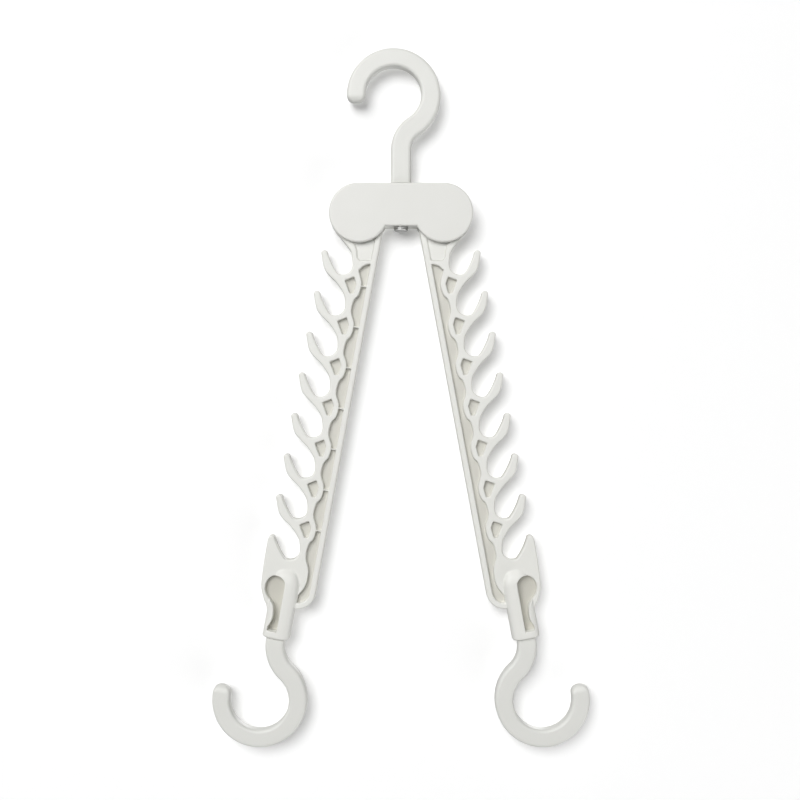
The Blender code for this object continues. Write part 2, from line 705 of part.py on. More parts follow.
def make_arm_mesh():
    """One arm moulding: a flat web with a rim, rail and fingers, and a round barrel at its foot."""
    half = ARM_DEPTH / 2
    floor = WEB / 2
    outlines = [arm_loop(arm_outline())] + circles([(0, 0)], BOSS_RADIUS + GAP, ROUND_STEPS)
    hollows = []
    for k in range(FINGERS - 1):
        corners = from_shares(POCKET_SHARES, PITCH, FIRST_SLOT + k * PITCH)
        hollows.append((arm_loop(filleted(corners, POCKET_ROUND, 2)), floor))
    neck = arm_loop(filleted(from_shares(NECK_SHARES, PITCH, FIRST_SLOT), POCKET_ROUND, 2))
    hollows.append((neck, half - NECK_RECESS))
    ribs = [FIRST_SLOT + (k + RIB_ALONG_SHARE) * PITCH for k in range(FINGERS - 1)]
    form = bmesh.new()
    for facing, places in ((-1, ribs), (1, [])):
        channel = [(arm_loop(loop), floor) for loop in channel_loops(places)]
        add_half_plate(form, facing, half, outlines, hollows + channel)
    bmesh.ops.remove_doubles(form, verts=form.verts, dist=WELD)
    bmesh.ops.dissolve_limit(form, angle_limit=FLAT, verts=form.verts, edges=form.edges)
    bmesh.ops.recalc_face_normals(form, faces=form.faces)
    flat_arm = bpy.data.meshes.new("arm")
    form.to_mesh(flat_arm)
    form.free()
    arm = place_mesh("arm", flat_arm, cutters)

    keyhole = from_shares(KEYHOLE_SHARES, KEYHOLE_RADIUS, ARM_LENGTH - KEYHOLE_RISE)
    keyhole = arm_loop([(along, out + KEYHOLE_OUT) for along, out in keyhole])
    front = prism("keyhole_front", [keyhole], -BODY_DEPTH, -floor)
    back = prism("keyhole_back", [keyhole], floor, BODY_DEPTH)
    barrel = make_barrel()
    room = rod("screw_room", SCREW_ROOM_RADIUS, SCREW_ROOM_HEIGHT - SCREW_ROOM_FOOT, -SCREW_ROOM_FOOT)
    bore = rod("end_bore", END_JOURNAL_RADIUS + GAP, -SCREW_ROOM_FOOT + SINK, -ARM_LENGTH - OVERRUN,
               SMALL_STEPS)
    for tool in (room, bore):
        tool.location = (-BARREL_OUT, 0, 0)
    join(arm, barrel)
    cut(arm, front, back, room, bore)
    mesh = baked(arm, "arm")
    discard(barrel, front, back, room, bore)
    return mesh


swivel_bore = rod("swivel_bore", TOP_JOURNAL_RADIUS + GAP, LOBE_RADIUS + OVERRUN, -BRIDGE_DROP - OVERRUN)
swivel_bore.location = (SWIVEL_X, 0, PIVOT_Z)


def make_arms():
    mesh = make_arm_mesh()
    end_path = hook_path(END_LOOP_RADIUS, END_BEND_RADIUS, END_OFFSET, END_STRAIGHT, END_TIP, END_CROWN_SHARE,
                         END_TIP_ROUND, END_WIDTH)
    form = place_mesh("end_hook", hook_form("end_hook", end_path, END_WIDTH, END_DEPTH), cutters)
    reach = BARREL_FLOOR + GAP
    journal = rod("end_journal", END_JOURNAL_RADIUS, OVERRUN, -reach, SMALL_STEPS)
    pilot = rod("end_pilot", SCREW_RADIUS + GAP, END_SCREW_LENGTH - reach, -reach - OVERRUN, SMALL_STEPS)
    join(form, journal)
    cut(form, pilot)
    hook_mesh = baked(form, "end_hook")
    discard(journal, pilot)
    screw_mesh = screw_form("end_screw", SCREW_RADIUS, END_SCREW_LENGTH - OVERRUN, SCREW_HEAD_RADIUS,
                            SCREW_HEAD_HEIGHT)
    for side, word in ((-1, "left"), (1, "right")):
        pivot = empty_at(f"{word}_pivot", (SWIVEL_X + side * PIVOT_SPACING / 2, 0, PIVOT_Z), -side * ARM_TILT)
        half_turn = 0.0 if side < 0 else math.pi
        arm = place_mesh(f"{word}_arm", mesh, parts)
        arm.parent = pivot
        arm.rotation_euler = (0, 0, half_turn)
        finish(arm, arm_plastic)
        socket = empty_at(f"{word}_socket", (side * BARREL_OUT, 0, -ARM_LENGTH - GAP))
        socket.parent = pivot
        hook = place_mesh(f"{word}_end_hook", hook_mesh, parts)
        hook.parent = socket
        hook.rotation_euler = (math.pi, 0, half_turn)
        finish(hook, hook_plastic)
        screw = place_mesh(f"{word}_end_screw", screw_mesh, parts)
        screw.parent = socket
        screw.location = (0, 0, reach + GAP)
        screw.rotation_euler = (0, 0, half_turn)
        finish(screw, steel)


make_top_hook()
make_housing()
make_arms()
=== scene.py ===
"""Looks of the space saving hanger: its mouldings, screws and finishes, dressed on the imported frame.

Metres, +Z up, front to -Y, as in the frame. Each section makes one piece, or one group of like pieces, in
the order in which the hanger is put together.
"""

import math

import bmesh
import bpy
import numpy as np
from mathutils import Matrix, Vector, geometry


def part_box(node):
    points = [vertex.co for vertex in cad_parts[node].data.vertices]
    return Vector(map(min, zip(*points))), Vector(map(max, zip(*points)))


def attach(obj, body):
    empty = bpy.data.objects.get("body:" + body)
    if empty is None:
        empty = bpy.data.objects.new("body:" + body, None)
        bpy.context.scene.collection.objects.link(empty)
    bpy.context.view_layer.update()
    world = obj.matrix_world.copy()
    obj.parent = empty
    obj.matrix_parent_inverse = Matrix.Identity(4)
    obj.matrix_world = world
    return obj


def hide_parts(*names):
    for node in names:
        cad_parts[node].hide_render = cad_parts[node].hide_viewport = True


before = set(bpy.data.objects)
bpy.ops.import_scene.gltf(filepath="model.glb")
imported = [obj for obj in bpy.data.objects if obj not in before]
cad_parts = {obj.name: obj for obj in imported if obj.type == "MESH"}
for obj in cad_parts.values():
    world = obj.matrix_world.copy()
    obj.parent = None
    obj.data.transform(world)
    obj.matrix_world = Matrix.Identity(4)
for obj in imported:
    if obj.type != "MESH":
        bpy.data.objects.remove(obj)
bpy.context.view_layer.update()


# Camera
# The hanger is seen square from the front, from about two thirds of a metre. The frame is 540 mm wide
# where the arms' front faces are, with the top hook's stem just right of its middle.

FRAME_WIDTH = 0.540
VIEW_DISTANCE = 0.680
VIEW_PLANE = -0.004
VIEW_CENTRE = (0.0044, -0.2256)


def placed(name, data):
    """A new object in the scene, at the origin, that holds the data."""
    made = bpy.data.objects.new(name, data)
    bpy.context.scene.collection.objects.link(made)
    return made


lens = bpy.data.cameras.new("camera")
lens.lens = lens.sensor_width * VIEW_DISTANCE / FRAME_WIDTH
camera = placed("camera", lens)
camera.location = (VIEW_CENTRE[0], VIEW_PLANE - VIEW_DISTANCE, VIEW_CENTRE[1])
camera.rotation_euler = (math.pi / 2, 0, 0)
bpy.context.scene.camera = camera
bpy.context.scene.view_settings.view_transform = 'Standard'


# Top hook
# An off-white moulding that hangs over the rod. Its oblong section has soft edges and grows slimmer from
# the stem to the crown. A round journal under the stem turns in the housing, round a screw's pilot hole.

TOP_LOOP_RADIUS = 0.0253
TOP_BEND_RADIUS = 0.0192
TOP_OFFSET = 0.0051
TOP_STRAIGHT = 0.0228
TOP_TIP = 0.0050
TOP_WIDTH = 0.0136
TOP_DEPTH = 0.0090
TOP_TIP_ROUND = 0.0048
TOP_CROWN_SHARE = 0.92
TOP_JOURNAL_RADIUS = 0.0040
HOOK_EDGE_ROUND = 0.0022
STEM_CHAMFER = 0.0008
EDGE_BREAK = 0.0003
PILOT_RADIUS = 0.0018
TOP_PILOT_DEPTH = 0.0180
HOOK_CORNER_STEPS = 8
HOOK_FLAT_MARGIN = 0.00025
UP = 90.0
DOWN = 270.0
STEM_STEPS = 6
CHAMFER_STEPS = 3
HOOK_BEND_STEPS = 30
HOOK_LOOP_STEPS = 110
HOOK_TIP_STEPS = 10
HOOK_TIP_TURN = 84
HOOK_CORNER_SHARE = 0.92
CHAMFER_TURN = 60
SHARP_TURN = 35
WELD = 0.000002
HOOK_COLOUR = (0.740, 0.742, 0.712)
HOOK_ROUGHNESS = 0.40
HOOK_GRAIN = 0.5
CLOUD_DARK = (0.975, 0.975, 0.962)
CLOUD_LIGHT = (1.02, 1.02, 1.02)
GLOSS_BAND = (0.3, 0.7)
GLOSS_SWING = 0.05
RIPPLE_STRENGTH = 0.5
RIPPLE_DEPTH = 0.00003
GRAIN_DEPTH = 0.000012
PLASTIC_IOR = 1.49

# Noises as (scale, detail)
CLOUD_NOISE = (28, 3)
GLOSS_NOISE = (160, 4)
RIPPLE_NOISE = (220, 2)
GRAIN_NOISE = (2600, 2)


def arc(centre, radius, start, end, steps):
    """Points centre + radius (cos a, sin a), with a from start to end in degrees."""
    angle = np.radians(np.linspace(start, end, steps + 1))
    return np.column_stack((centre[0] + radius * np.cos(angle), centre[1] + radius * np.sin(angle)))


def rounded_section(half_width, half_depth, corner):
    """Rings of a rounded oblong, one for each entry of the three arrays: (rings, points, 2).

    A corner's points are its centre (half size less radius) plus radius (cos a, sin a), and one more point
    lies on the flat at each end of the corner, at a small margin from it.
    """
    base = np.repeat(np.array([0, 90, 180, 270]), HOOK_CORNER_STEPS + 3)
    turn = np.tile(np.concatenate(([0], np.linspace(0, 90, HOOK_CORNER_STEPS + 1), [90])), 4)
    shift = np.tile(np.concatenate(([-1], np.zeros(HOOK_CORNER_STEPS + 1), [1])), 4) * HOOK_FLAT_MARGIN
    angle = np.radians(base + turn)
    middle = np.radians(base + 90 / 2)
    a, b, r = (np.asarray(size, float).reshape(-1, 1) for size in (half_width, half_depth, corner))
    across = np.sign(np.cos(middle)) * (a - r) + r * np.cos(angle) - shift * np.sin(angle)
    deep = np.sign(np.sin(middle)) * (b - r) + r * np.sin(angle) + shift * np.cos(angle)
    return np.stack((across, deep), axis=2)


def hook_line(loop_radius, bend_radius, offset, straight, tip, tip_round, crown_share):
    """A hook's centre line from its stem's end at the origin: (x, z, heading, size share, inset) a row.

    A straight stem, an arc of bend_radius to +X, an arc of loop_radius back over the top, and a short
    straight tip whose last rings step in by tip_round (1 - cos a) while they advance by tip_round sin a.
    """
    rise = math.sqrt((loop_radius + bend_radius) ** 2 - (offset + bend_radius) ** 2)
    meet = math.degrees(math.atan2(rise, -(offset + bend_radius)))
    level = straight + rise
    stem = np.column_stack((np.zeros(STEM_STEPS), np.linspace(STEM_CHAMFER, straight, STEM_STEPS),
                            np.full(STEM_STEPS, UP)))
    bend = arc((bend_radius, straight), bend_radius, 180, meet, HOOK_BEND_STEPS)[1:]
    bend = np.column_stack((bend, np.linspace(UP, meet - 90, HOOK_BEND_STEPS + 1)[1:]))
    loop = arc((-offset, level), loop_radius, meet + 180, 180 + 360, HOOK_LOOP_STEPS)[1:]
    loop = np.column_stack((loop, np.linspace(meet - 90, DOWN, HOOK_LOOP_STEPS + 1)[1:]))
    lean = np.radians(np.linspace(0, HOOK_TIP_TURN, HOOK_TIP_STEPS + 1))
    end = np.column_stack((np.full(len(lean), -offset - loop_radius),
                           level - tip + tip_round * (1 - np.sin(lean)), np.full(len(lean), DOWN)))
    line = np.vstack((stem, bend, loop, end))
    share = np.ones(len(line))
    first = len(stem) + len(bend)
    grown = np.clip(2 * np.arange(1, len(loop) + 1) / len(loop), 0, 1)
    share[first:first + len(loop)] = 1 - (1 - crown_share) * grown * grown * (3 - 2 * grown)
    share[first + len(loop):] = crown_share
    inset = np.zeros(len(line))
    inset[-len(lean):] = tip_round * (1 - np.cos(lean))
    return np.column_stack((line, share, inset))


def carried(line, width, depth):
    """The rounded section set square on each row of a hook line: (rings, points, 3)."""
    x, z, heading, share, inset = line.T
    half_width = width / 2 * share - inset
    half_depth = half_width * depth / width
    corner = np.minimum(HOOK_EDGE_ROUND, HOOK_CORNER_SHARE * np.minimum(half_width, half_depth))
    section = rounded_section(half_width, half_depth, corner)
    turn = np.radians(heading)[:, None]
    across = section[:, :, 0]
    return np.stack((x[:, None] + across * np.sin(turn), section[:, :, 1],
                     z[:, None] - across * np.cos(turn)), axis=2)


def turned(profile, angle):
    """Rings about Z, one for each (radius, height): (radius cos a, radius sin a, height) at the angles a."""
    across, deep = np.cos(angle), np.sin(angle)
    return np.stack([np.column_stack((radius * across, radius * deep, np.full(len(angle), height)))
                     for radius, height in profile])


def stem_foot(width, depth, journal_radius, journal_length, pilot_depth):
    """Rings from the pilot hole's blind end, down and round the journal, and out under the stem."""
    stem = rounded_section(width / 2, depth / 2, HOOK_EDGE_ROUND)[0]
    angle = np.arctan2(stem[:, 1], stem[:, 0])
    steps = [(PILOT_RADIUS, pilot_depth - journal_length), (PILOT_RADIUS, EDGE_BREAK - journal_length),
             (PILOT_RADIUS + EDGE_BREAK, -journal_length), (journal_radius - EDGE_BREAK, -journal_length),
             (journal_radius, EDGE_BREAK - journal_length), (journal_radius, 0)]
    lean = np.radians(np.linspace(0, CHAMFER_TURN, CHAMFER_STEPS))
    inset = STEM_CHAMFER * (1 - np.sin(lean))
    edge = rounded_section(width / 2 - inset, depth / 2 - inset, HOOK_EDGE_ROUND - inset)
    height = np.repeat(STEM_CHAMFER * (1 - np.cos(lean)), edge.shape[1]).reshape(edge.shape[:2])
    return np.concatenate((turned(steps, angle), np.concatenate((edge, height[:, :, None]), axis=2)))


def skin(rings, closed=True):
    """Points and faces of closed rings joined in order; a closed skin ends in a middle point at each end."""
    count, around = rings.shape[:2]
    points = rings.reshape(-1, 3)
    here = np.arange(count * around).reshape(count, around)
    beside = np.roll(here, -1, axis=1)
    faces = np.stack((here[:-1], beside[:-1], beside[1:], here[1:]), axis=2).reshape(-1, 4).tolist()
    if closed:
        points = np.vstack((points, rings[0].mean(0), rings[-1].mean(0)))
        start = np.full(around, count * around)
        faces += np.column_stack((beside[0], here[0], start)).tolist()
        faces += np.column_stack((here[-1], beside[-1], start + 1)).tolist()
    return points, faces


def make_piece(name, patches, finish):
    """One mesh of patches (points, faces): welded, its faces turned outward and its edges kept crisp."""
    start = np.cumsum([0] + [len(points) for points, faces in patches])
    faces = [[corner + first for corner in face] for first, (points, group) in zip(start.tolist(), patches)
             for face in group]
    mesh = bpy.data.meshes.new(name)
    mesh.from_pydata(np.vstack([points for points, group in patches]), [], faces)
    form = bmesh.new()
    form.from_mesh(mesh)
    bmesh.ops.remove_doubles(form, verts=form.verts, dist=WELD)
    bmesh.ops.recalc_face_normals(form, faces=form.faces)
    form.to_mesh(mesh)
    form.free()
    mesh.shade_smooth()
    mesh.set_sharp_from_angle(angle=math.radians(SHARP_TURN))
    mesh.materials.append(finish)
    return placed(name, mesh)


def added(tree, kind, inputs, **settings):
    """The outputs of a new node. Of its inputs, a socket's source is linked and a plain value is set."""
    made = tree.nodes.new(kind)
    for name, value in settings.items():
        setattr(made, name, value)
    for name, value in inputs.items():
        if isinstance(value, bpy.types.NodeSocket):
            tree.links.new(value, made.inputs[name])
        else:
            made.inputs[name].default_value = value
    return made.outputs


def object_place(tree):
    """A point's place in its own piece, which is where a pattern on it is counted from."""
    return added(tree, 'ShaderNodeTexCoord', {})['Object']


def noise(tree, scale, detail):
    """Cloudy noise over a piece, from its Object coordinates."""
    return added(tree, 'ShaderNodeTexNoise',
                 {'Vector': object_place(tree), 'Scale': scale, 'Detail': detail})['Fac']


def ranged(tree, value, source, target):
    """The value carried from the source range to the target range, and held at its ends."""
    return added(tree, 'ShaderNodeMapRange',
                 {'Value': value, 'From Min': source[0], 'From Max': source[1],
                  'To Min': target[0], 'To Max': target[1]})['Result']


def blended(tree, share, first, second, blend='MIX'):
    """Two colours mixed, or multiplied, by a share."""
    return added(tree, 'ShaderNodeMix', {0: share, 6: first, 7: second},
                 data_type='RGBA', blend_type=blend)[2]


def bumped(tree, height, strength, depth, **under):
    """A normal tilted by the slope of height times depth, over the normal under it."""
    return added(tree, 'ShaderNodeBump',
                 {'Height': height, 'Strength': strength, 'Distance': depth, **under})['Normal']


def toned(colour, tone):
    """A colour times a tone, part by part, with nothing see-through."""
    return (*(part * share for part, share in zip(colour, tone)), 1)


def new_finish(name):
    """A new material made of nodes, and its node tree."""
    finish = bpy.data.materials.new(name)
    finish.use_nodes = True
    return finish, finish.node_tree


def moulded_plastic(name, colour, roughness, grain):
    """Satin off-white plastic: a faint cloudiness from the melt, a fine mould grain and uneven gloss."""
    finish, tree = new_finish(name)
    shader = tree.nodes["Principled BSDF"]
    shader.inputs['IOR'].default_value = PLASTIC_IOR
    cloud = blended(tree, noise(tree, *CLOUD_NOISE), toned(colour, CLOUD_DARK), toned(colour, CLOUD_LIGHT))
    tree.links.new(cloud, shader.inputs['Base Color'])
    swing = (roughness - GLOSS_SWING, roughness + GLOSS_SWING)
    tree.links.new(ranged(tree, noise(tree, *GLOSS_NOISE), GLOSS_BAND, swing), shader.inputs['Roughness'])
    ripple = bumped(tree, noise(tree, *RIPPLE_NOISE), RIPPLE_STRENGTH, RIPPLE_DEPTH)
    texture = bumped(tree, noise(tree, *GRAIN_NOISE), grain, GRAIN_DEPTH, Normal=ripple)
    tree.links.new(texture, shader.inputs['Normal'])
    return finish


hook_plastic = moulded_plastic("hook_satin", HOOK_COLOUR, HOOK_ROUGHNESS, HOOK_GRAIN)
swivel_x = (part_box("front_cover")[0].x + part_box("front_cover")[1].x) / 2
stem_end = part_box("front_cover")[1].z + EDGE_BREAK
journal_length = stem_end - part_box("top_hook")[0].z
top_line = hook_line(TOP_LOOP_RADIUS, TOP_BEND_RADIUS, TOP_OFFSET, TOP_STRAIGHT, TOP_TIP, TOP_TIP_ROUND,
                     TOP_CROWN_SHARE)
top_rings = np.concatenate((
    stem_foot(TOP_WIDTH, TOP_DEPTH, TOP_JOURNAL_RADIUS, journal_length, TOP_PILOT_DEPTH),
    carried(top_line, TOP_WIDTH, TOP_DEPTH)))
top_hook = make_piece("top_hook_moulding", [skin(top_rings + (swivel_x, 0, stem_end))], hook_plastic)
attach(top_hook, "hook")
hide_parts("top_hook")


# Housing
# Two off-white shells, front and back, that leave a slot for the arms' heads between them. Each has a
# rounded rim and a core wall that steps back at the parting line. The front one has a round boss at each
# pivot, and the back one is counterbored for the screws.

LOBE_RADIUS = 0.0200
BRIDGE_DROP = 0.0090
COVER_FACE = 0.0075
COVER_EDGE_ROUND = 0.0012
PARTING_STEP = 0.0004
SLOT_FACE = 0.0043
CORE_FACE = 0.00015
ARM_TILT = 10.5
SWING_RADIUS = 0.0183
SWING_STOP = 121.0
SWIVEL_ROOM = 0.0043
BOSS_RADIUS = 0.0050
BOSS_FACE = 0.0040
COVER_PILOT_END = -0.0048
COVER_HEAD_ROOM = 0.0035
COVER_HEAD_SEAT = 0.0055
RIM_BREAK = 0.0002
COVER_SUPPORT = 0.0003
LOBE_STEPS = 120
CIRCLE_STEPS = 64
CORE_STEPS = 16
RIM_STEPS = 9
BATCH = 1500
TINY = 1e-9
COVER_COLOUR = (0.757, 0.756, 0.728)
COVER_ROUGHNESS = 0.42
COVER_GRAIN = 0.6


def within(points, loop):
    """Which points lie inside a closed loop: a ray from them crosses its sides an odd number of times."""
    x0, z0 = loop.T
    x1, z1 = np.roll(loop, -1, axis=0).T
    rise = np.where(z1 == z0, 1.0, z1 - z0)
    found = []
    for x, z in (part.T for part in np.array_split(points, len(points) // BATCH + 1)):
        crosses = (z0 > z[:, None]) != (z1 > z[:, None])
        found.append((crosses & (x[:, None] < x0 + (z[:, None] - z0) * (x1 - x0) / rise)).sum(1) % 2 == 1)
    return np.concatenate(found)


def triangles(loops, extra=()):
    """Delaunay triangles (points, corners) inside the first loop, with every loop's sides kept as edges."""
    points = np.vstack([*loops, *extra])
    sides = []
    first = 0
    for loop in loops:
        here = np.arange(first, first + len(loop))
        sides.append(np.column_stack((here, np.roll(here, -1))))
        first += len(loop)
    made = geometry.delaunay_2d_cdt(points.tolist(), np.vstack(sides).tolist(), [], 1, TINY)
    return np.array([tuple(point) for point in made[0]]), np.array(made[2])


def flat_face(loops, depth):
    """A flat face at the depth Y: an outer loop in XZ, less the holes that the other loops bound."""
    points, corners = triangles(loops)
    middles = points[corners].mean(axis=1)
    keep = within(middles, loops[0])
    for hole in loops[1:]:
        keep &= ~within(middles, hole)
    return np.column_stack((points[:, 0], np.full(len(points), depth), points[:, 1])), corners[keep].tolist()


def circle(centre, radius):
    """Points centre + radius (cos a, sin a), once round, with the first one not said again at the end."""
    return arc(centre, radius, 0, 360, CIRCLE_STEPS)[:-1]


def stacked(loops, depths):
    """Loops in XZ as rings (rings, points, 3) at the depths Y."""
    return np.stack([np.column_stack((loop[:, 0], np.full(len(loop), depth), loop[:, 1]))
                     for loop, depth in zip(loops, depths)])


def tube(centre, profile, facing, blind):
    """A round wall about Y from a profile of (radius, depth); a blind one is closed at its last radius."""
    rings = stacked([circle(centre, radius) for radius, depth in profile],
                    [facing * depth for radius, depth in profile])
    points, faces = skin(rings, closed=False)
    if blind:
        last = np.arange(len(points) - CIRCLE_STEPS, len(points))
        faces += np.column_stack((last, np.roll(last, -1), np.full(CIRCLE_STEPS, len(points)))).tolist()
        points = np.vstack((points, rings[-1].mean(0)))
    return points, faces


def screw_place(node):
    """The middle of a node's box in X and Z."""
    low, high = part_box(node)
    return ((low.x + high.x) / 2, (low.z + high.z) / 2)


pivot_places = [screw_place("left_pivot_screw"), screw_place("right_pivot_screw")]
bridge_places = [screw_place("left_bridge_screw"), screw_place("right_bridge_screw")]
pivot_z = pivot_places[0][1]


def dogbone(inset):
    """The housing's outline, stepped in by inset: two lobes about the pivots under one flat top."""
    radius = LOBE_RADIUS - inset
    notch = math.degrees(math.asin((BRIDGE_DROP - inset) / radius))
    return np.vstack((arc(pivot_places[0], radius, 90, 360 - notch, LOBE_STEPS),
                      arc(pivot_places[1], radius, 180 + notch, 90 + 360, LOBE_STEPS)))


def core_loop(mirror):
    """The core wall of the left half: over the head's swing circle, down the rail and beside the swivel."""
    outer = LOBE_RADIUS - PARTING_STEP
    floor = pivot_z - BRIDGE_DROP + PARTING_STEP
    swing = arc(pivot_places[0], SWING_RADIUS, SWING_STOP, -ARM_TILT, LOBE_STEPS // 2)
    foot = swing[-1, 0] - (swing[-1, 1] - floor) * math.tan(math.radians(ARM_TILT))
    beside = swivel_x - SWIVEL_ROOM
    over = arc(pivot_places[0], outer, 90, SWING_STOP, CORE_STEPS)
    loop = np.vstack(([(beside, pivot_z + outer)], over, swing, [(foot, floor), (beside, floor)]))
    if mirror:
        loop[:, 0] = 2 * swivel_x - loop[:, 0]
    return loop


def housing_shell(name, facing, face_holes, slot_holes, core_holes, tubes):
    """One shell: its face, rounded rim, step to the slot's face, core walls, and the tubes of its holes."""
    lean = np.radians(np.linspace(0, 90, RIM_STEPS + 1))
    insets = [COVER_EDGE_ROUND + COVER_SUPPORT, *(COVER_EDGE_ROUND * (1 - np.sin(lean))), 0, 0, RIM_BREAK]
    depths = [COVER_FACE, *(COVER_FACE - COVER_EDGE_ROUND * (1 - np.cos(lean))),
              COVER_FACE - COVER_EDGE_ROUND - COVER_SUPPORT, SLOT_FACE + RIM_BREAK, SLOT_FACE]
    rim = [dogbone(inset) for inset in insets]
    cores = [core_loop(False), core_loop(True)]
    patches = [skin(stacked(rim, [facing * depth for depth in depths]), closed=False),
               flat_face([rim[0]] + face_holes, facing * COVER_FACE),
               flat_face([rim[-1]] + cores + slot_holes, facing * SLOT_FACE)]
    for core, hole in zip(cores, core_holes):
        patches.append(skin(stacked([core, core], [facing * SLOT_FACE, facing * CORE_FACE]), closed=False))
        patches.append(flat_face([core, hole], facing * CORE_FACE))
    return make_piece(name, patches + tubes, cover_plastic)


cover_plastic = moulded_plastic("cover_satin", COVER_COLOUR, COVER_ROUGHNESS, COVER_GRAIN)
boss = [(BOSS_RADIUS, SLOT_FACE), (BOSS_RADIUS, EDGE_BREAK - BOSS_FACE),
        (BOSS_RADIUS - EDGE_BREAK, -BOSS_FACE), (PILOT_RADIUS + EDGE_BREAK, -BOSS_FACE),
        (PILOT_RADIUS, EDGE_BREAK - BOSS_FACE), (PILOT_RADIUS, -COVER_PILOT_END)]
pilot = [(PILOT_RADIUS, CORE_FACE), (PILOT_RADIUS, -COVER_PILOT_END)]
counterbore = [(COVER_HEAD_ROOM + RIM_BREAK, COVER_FACE), (COVER_HEAD_ROOM, COVER_FACE - RIM_BREAK),
               (COVER_HEAD_ROOM, COVER_HEAD_SEAT), (PILOT_RADIUS, COVER_HEAD_SEAT)]
front_shell = housing_shell(
    "front_shell", -1, [], [circle(place, BOSS_RADIUS) for place in pivot_places],
    [circle(place, PILOT_RADIUS) for place in bridge_places],
    [tube(place, boss, -1, True) for place in pivot_places]
    + [tube(place, pilot, -1, True) for place in bridge_places])
back_shell = housing_shell(
    "back_shell", 1, [circle(place, counterbore[0][0]) for place in pivot_places + bridge_places],
    [circle(place, PILOT_RADIUS) for place in pivot_places],
    [circle(place, PILOT_RADIUS) for place in bridge_places],
    [tube(place, counterbore + [(PILOT_RADIUS, SLOT_FACE)], 1, False) for place in pivot_places]
    + [tube(place, counterbore + [(PILOT_RADIUS, CORE_FACE)], 1, False) for place in bridge_places])
for shell, node in ((front_shell, "front_cover"), (back_shell, "back_cover")):
    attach(shell, "housing")
    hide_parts(node)


# Screws and washer
# Plated steel. A pan head screw and a washer under the bridge carry the housing on the top hook's journal,
# four smaller screws close the shells from the back, and one inside each barrel holds an end hook.

SCREW_RADIUS = 0.0015
SCREW_HEAD_RADIUS = 0.0047
SCREW_HEAD_HEIGHT = 0.0016
COVER_HEAD_RADIUS = 0.0032
COVER_HEAD_HEIGHT = 0.0017
THREAD_PITCH = 0.0009
THREAD_HEIGHT = 0.00022
DRIVE_SPAN = 0.0044
DRIVE_WIDTH = 0.0011
DRIVE_DEPTH = 0.0012
DRIVE_TAPER_SHARE = 0.75
DRIVE_FLOOR_SHARE = 0.55
DRIVE_CENTRE_SHARE = 0.02
HEAD_FLAT_SHARE = 0.62
HEAD_SIDE_SHARE = 0.35
POINT_SHARES = (0.8, 0.1)
DRIVE_END_STEPS = 4
DRIVE_SIDE_STEPS = 8
CROWN_STEPS = 9
THREAD_STEPS = 8
THREAD_CREST = 3
WASHER_HOLE = 0.0018
WASHER_RADIUS = 0.0050
WASHER_THICKNESS = 0.0008
STEEL_COLOUR = (0.43, 0.43, 0.42)
STEEL_ROUGHNESS = (0.36, 0.52)
PLATE_DARK = (0.86, 0.86, 0.86)
PLATE_LIGHT = (1.10, 1.10, 1.10)
PLATE_NOISE = (420, 4)
LATHE_NOISE = (5200, 2)
LATHE_STRENGTH = 0.35
LATHE_DEPTH = 0.00001


def plated_steel(name, colour):
    """Bright plating over turned steel: fine rings from the lathe and patches of duller plate."""
    finish, tree = new_finish(name)
    shader = tree.nodes["Principled BSDF"]
    shader.inputs['Metallic'].default_value = 1.0
    patch = noise(tree, *PLATE_NOISE)
    tone = blended(tree, patch, toned(colour, PLATE_DARK), toned(colour, PLATE_LIGHT))
    tree.links.new(tone, shader.inputs['Base Color'])
    tree.links.new(ranged(tree, patch, (0.0, 1.0), STEEL_ROUGHNESS), shader.inputs['Roughness'])
    lathe = bumped(tree, noise(tree, *LATHE_NOISE), LATHE_STRENGTH, LATHE_DEPTH)
    tree.links.new(lathe, shader.inputs['Normal'])
    return finish


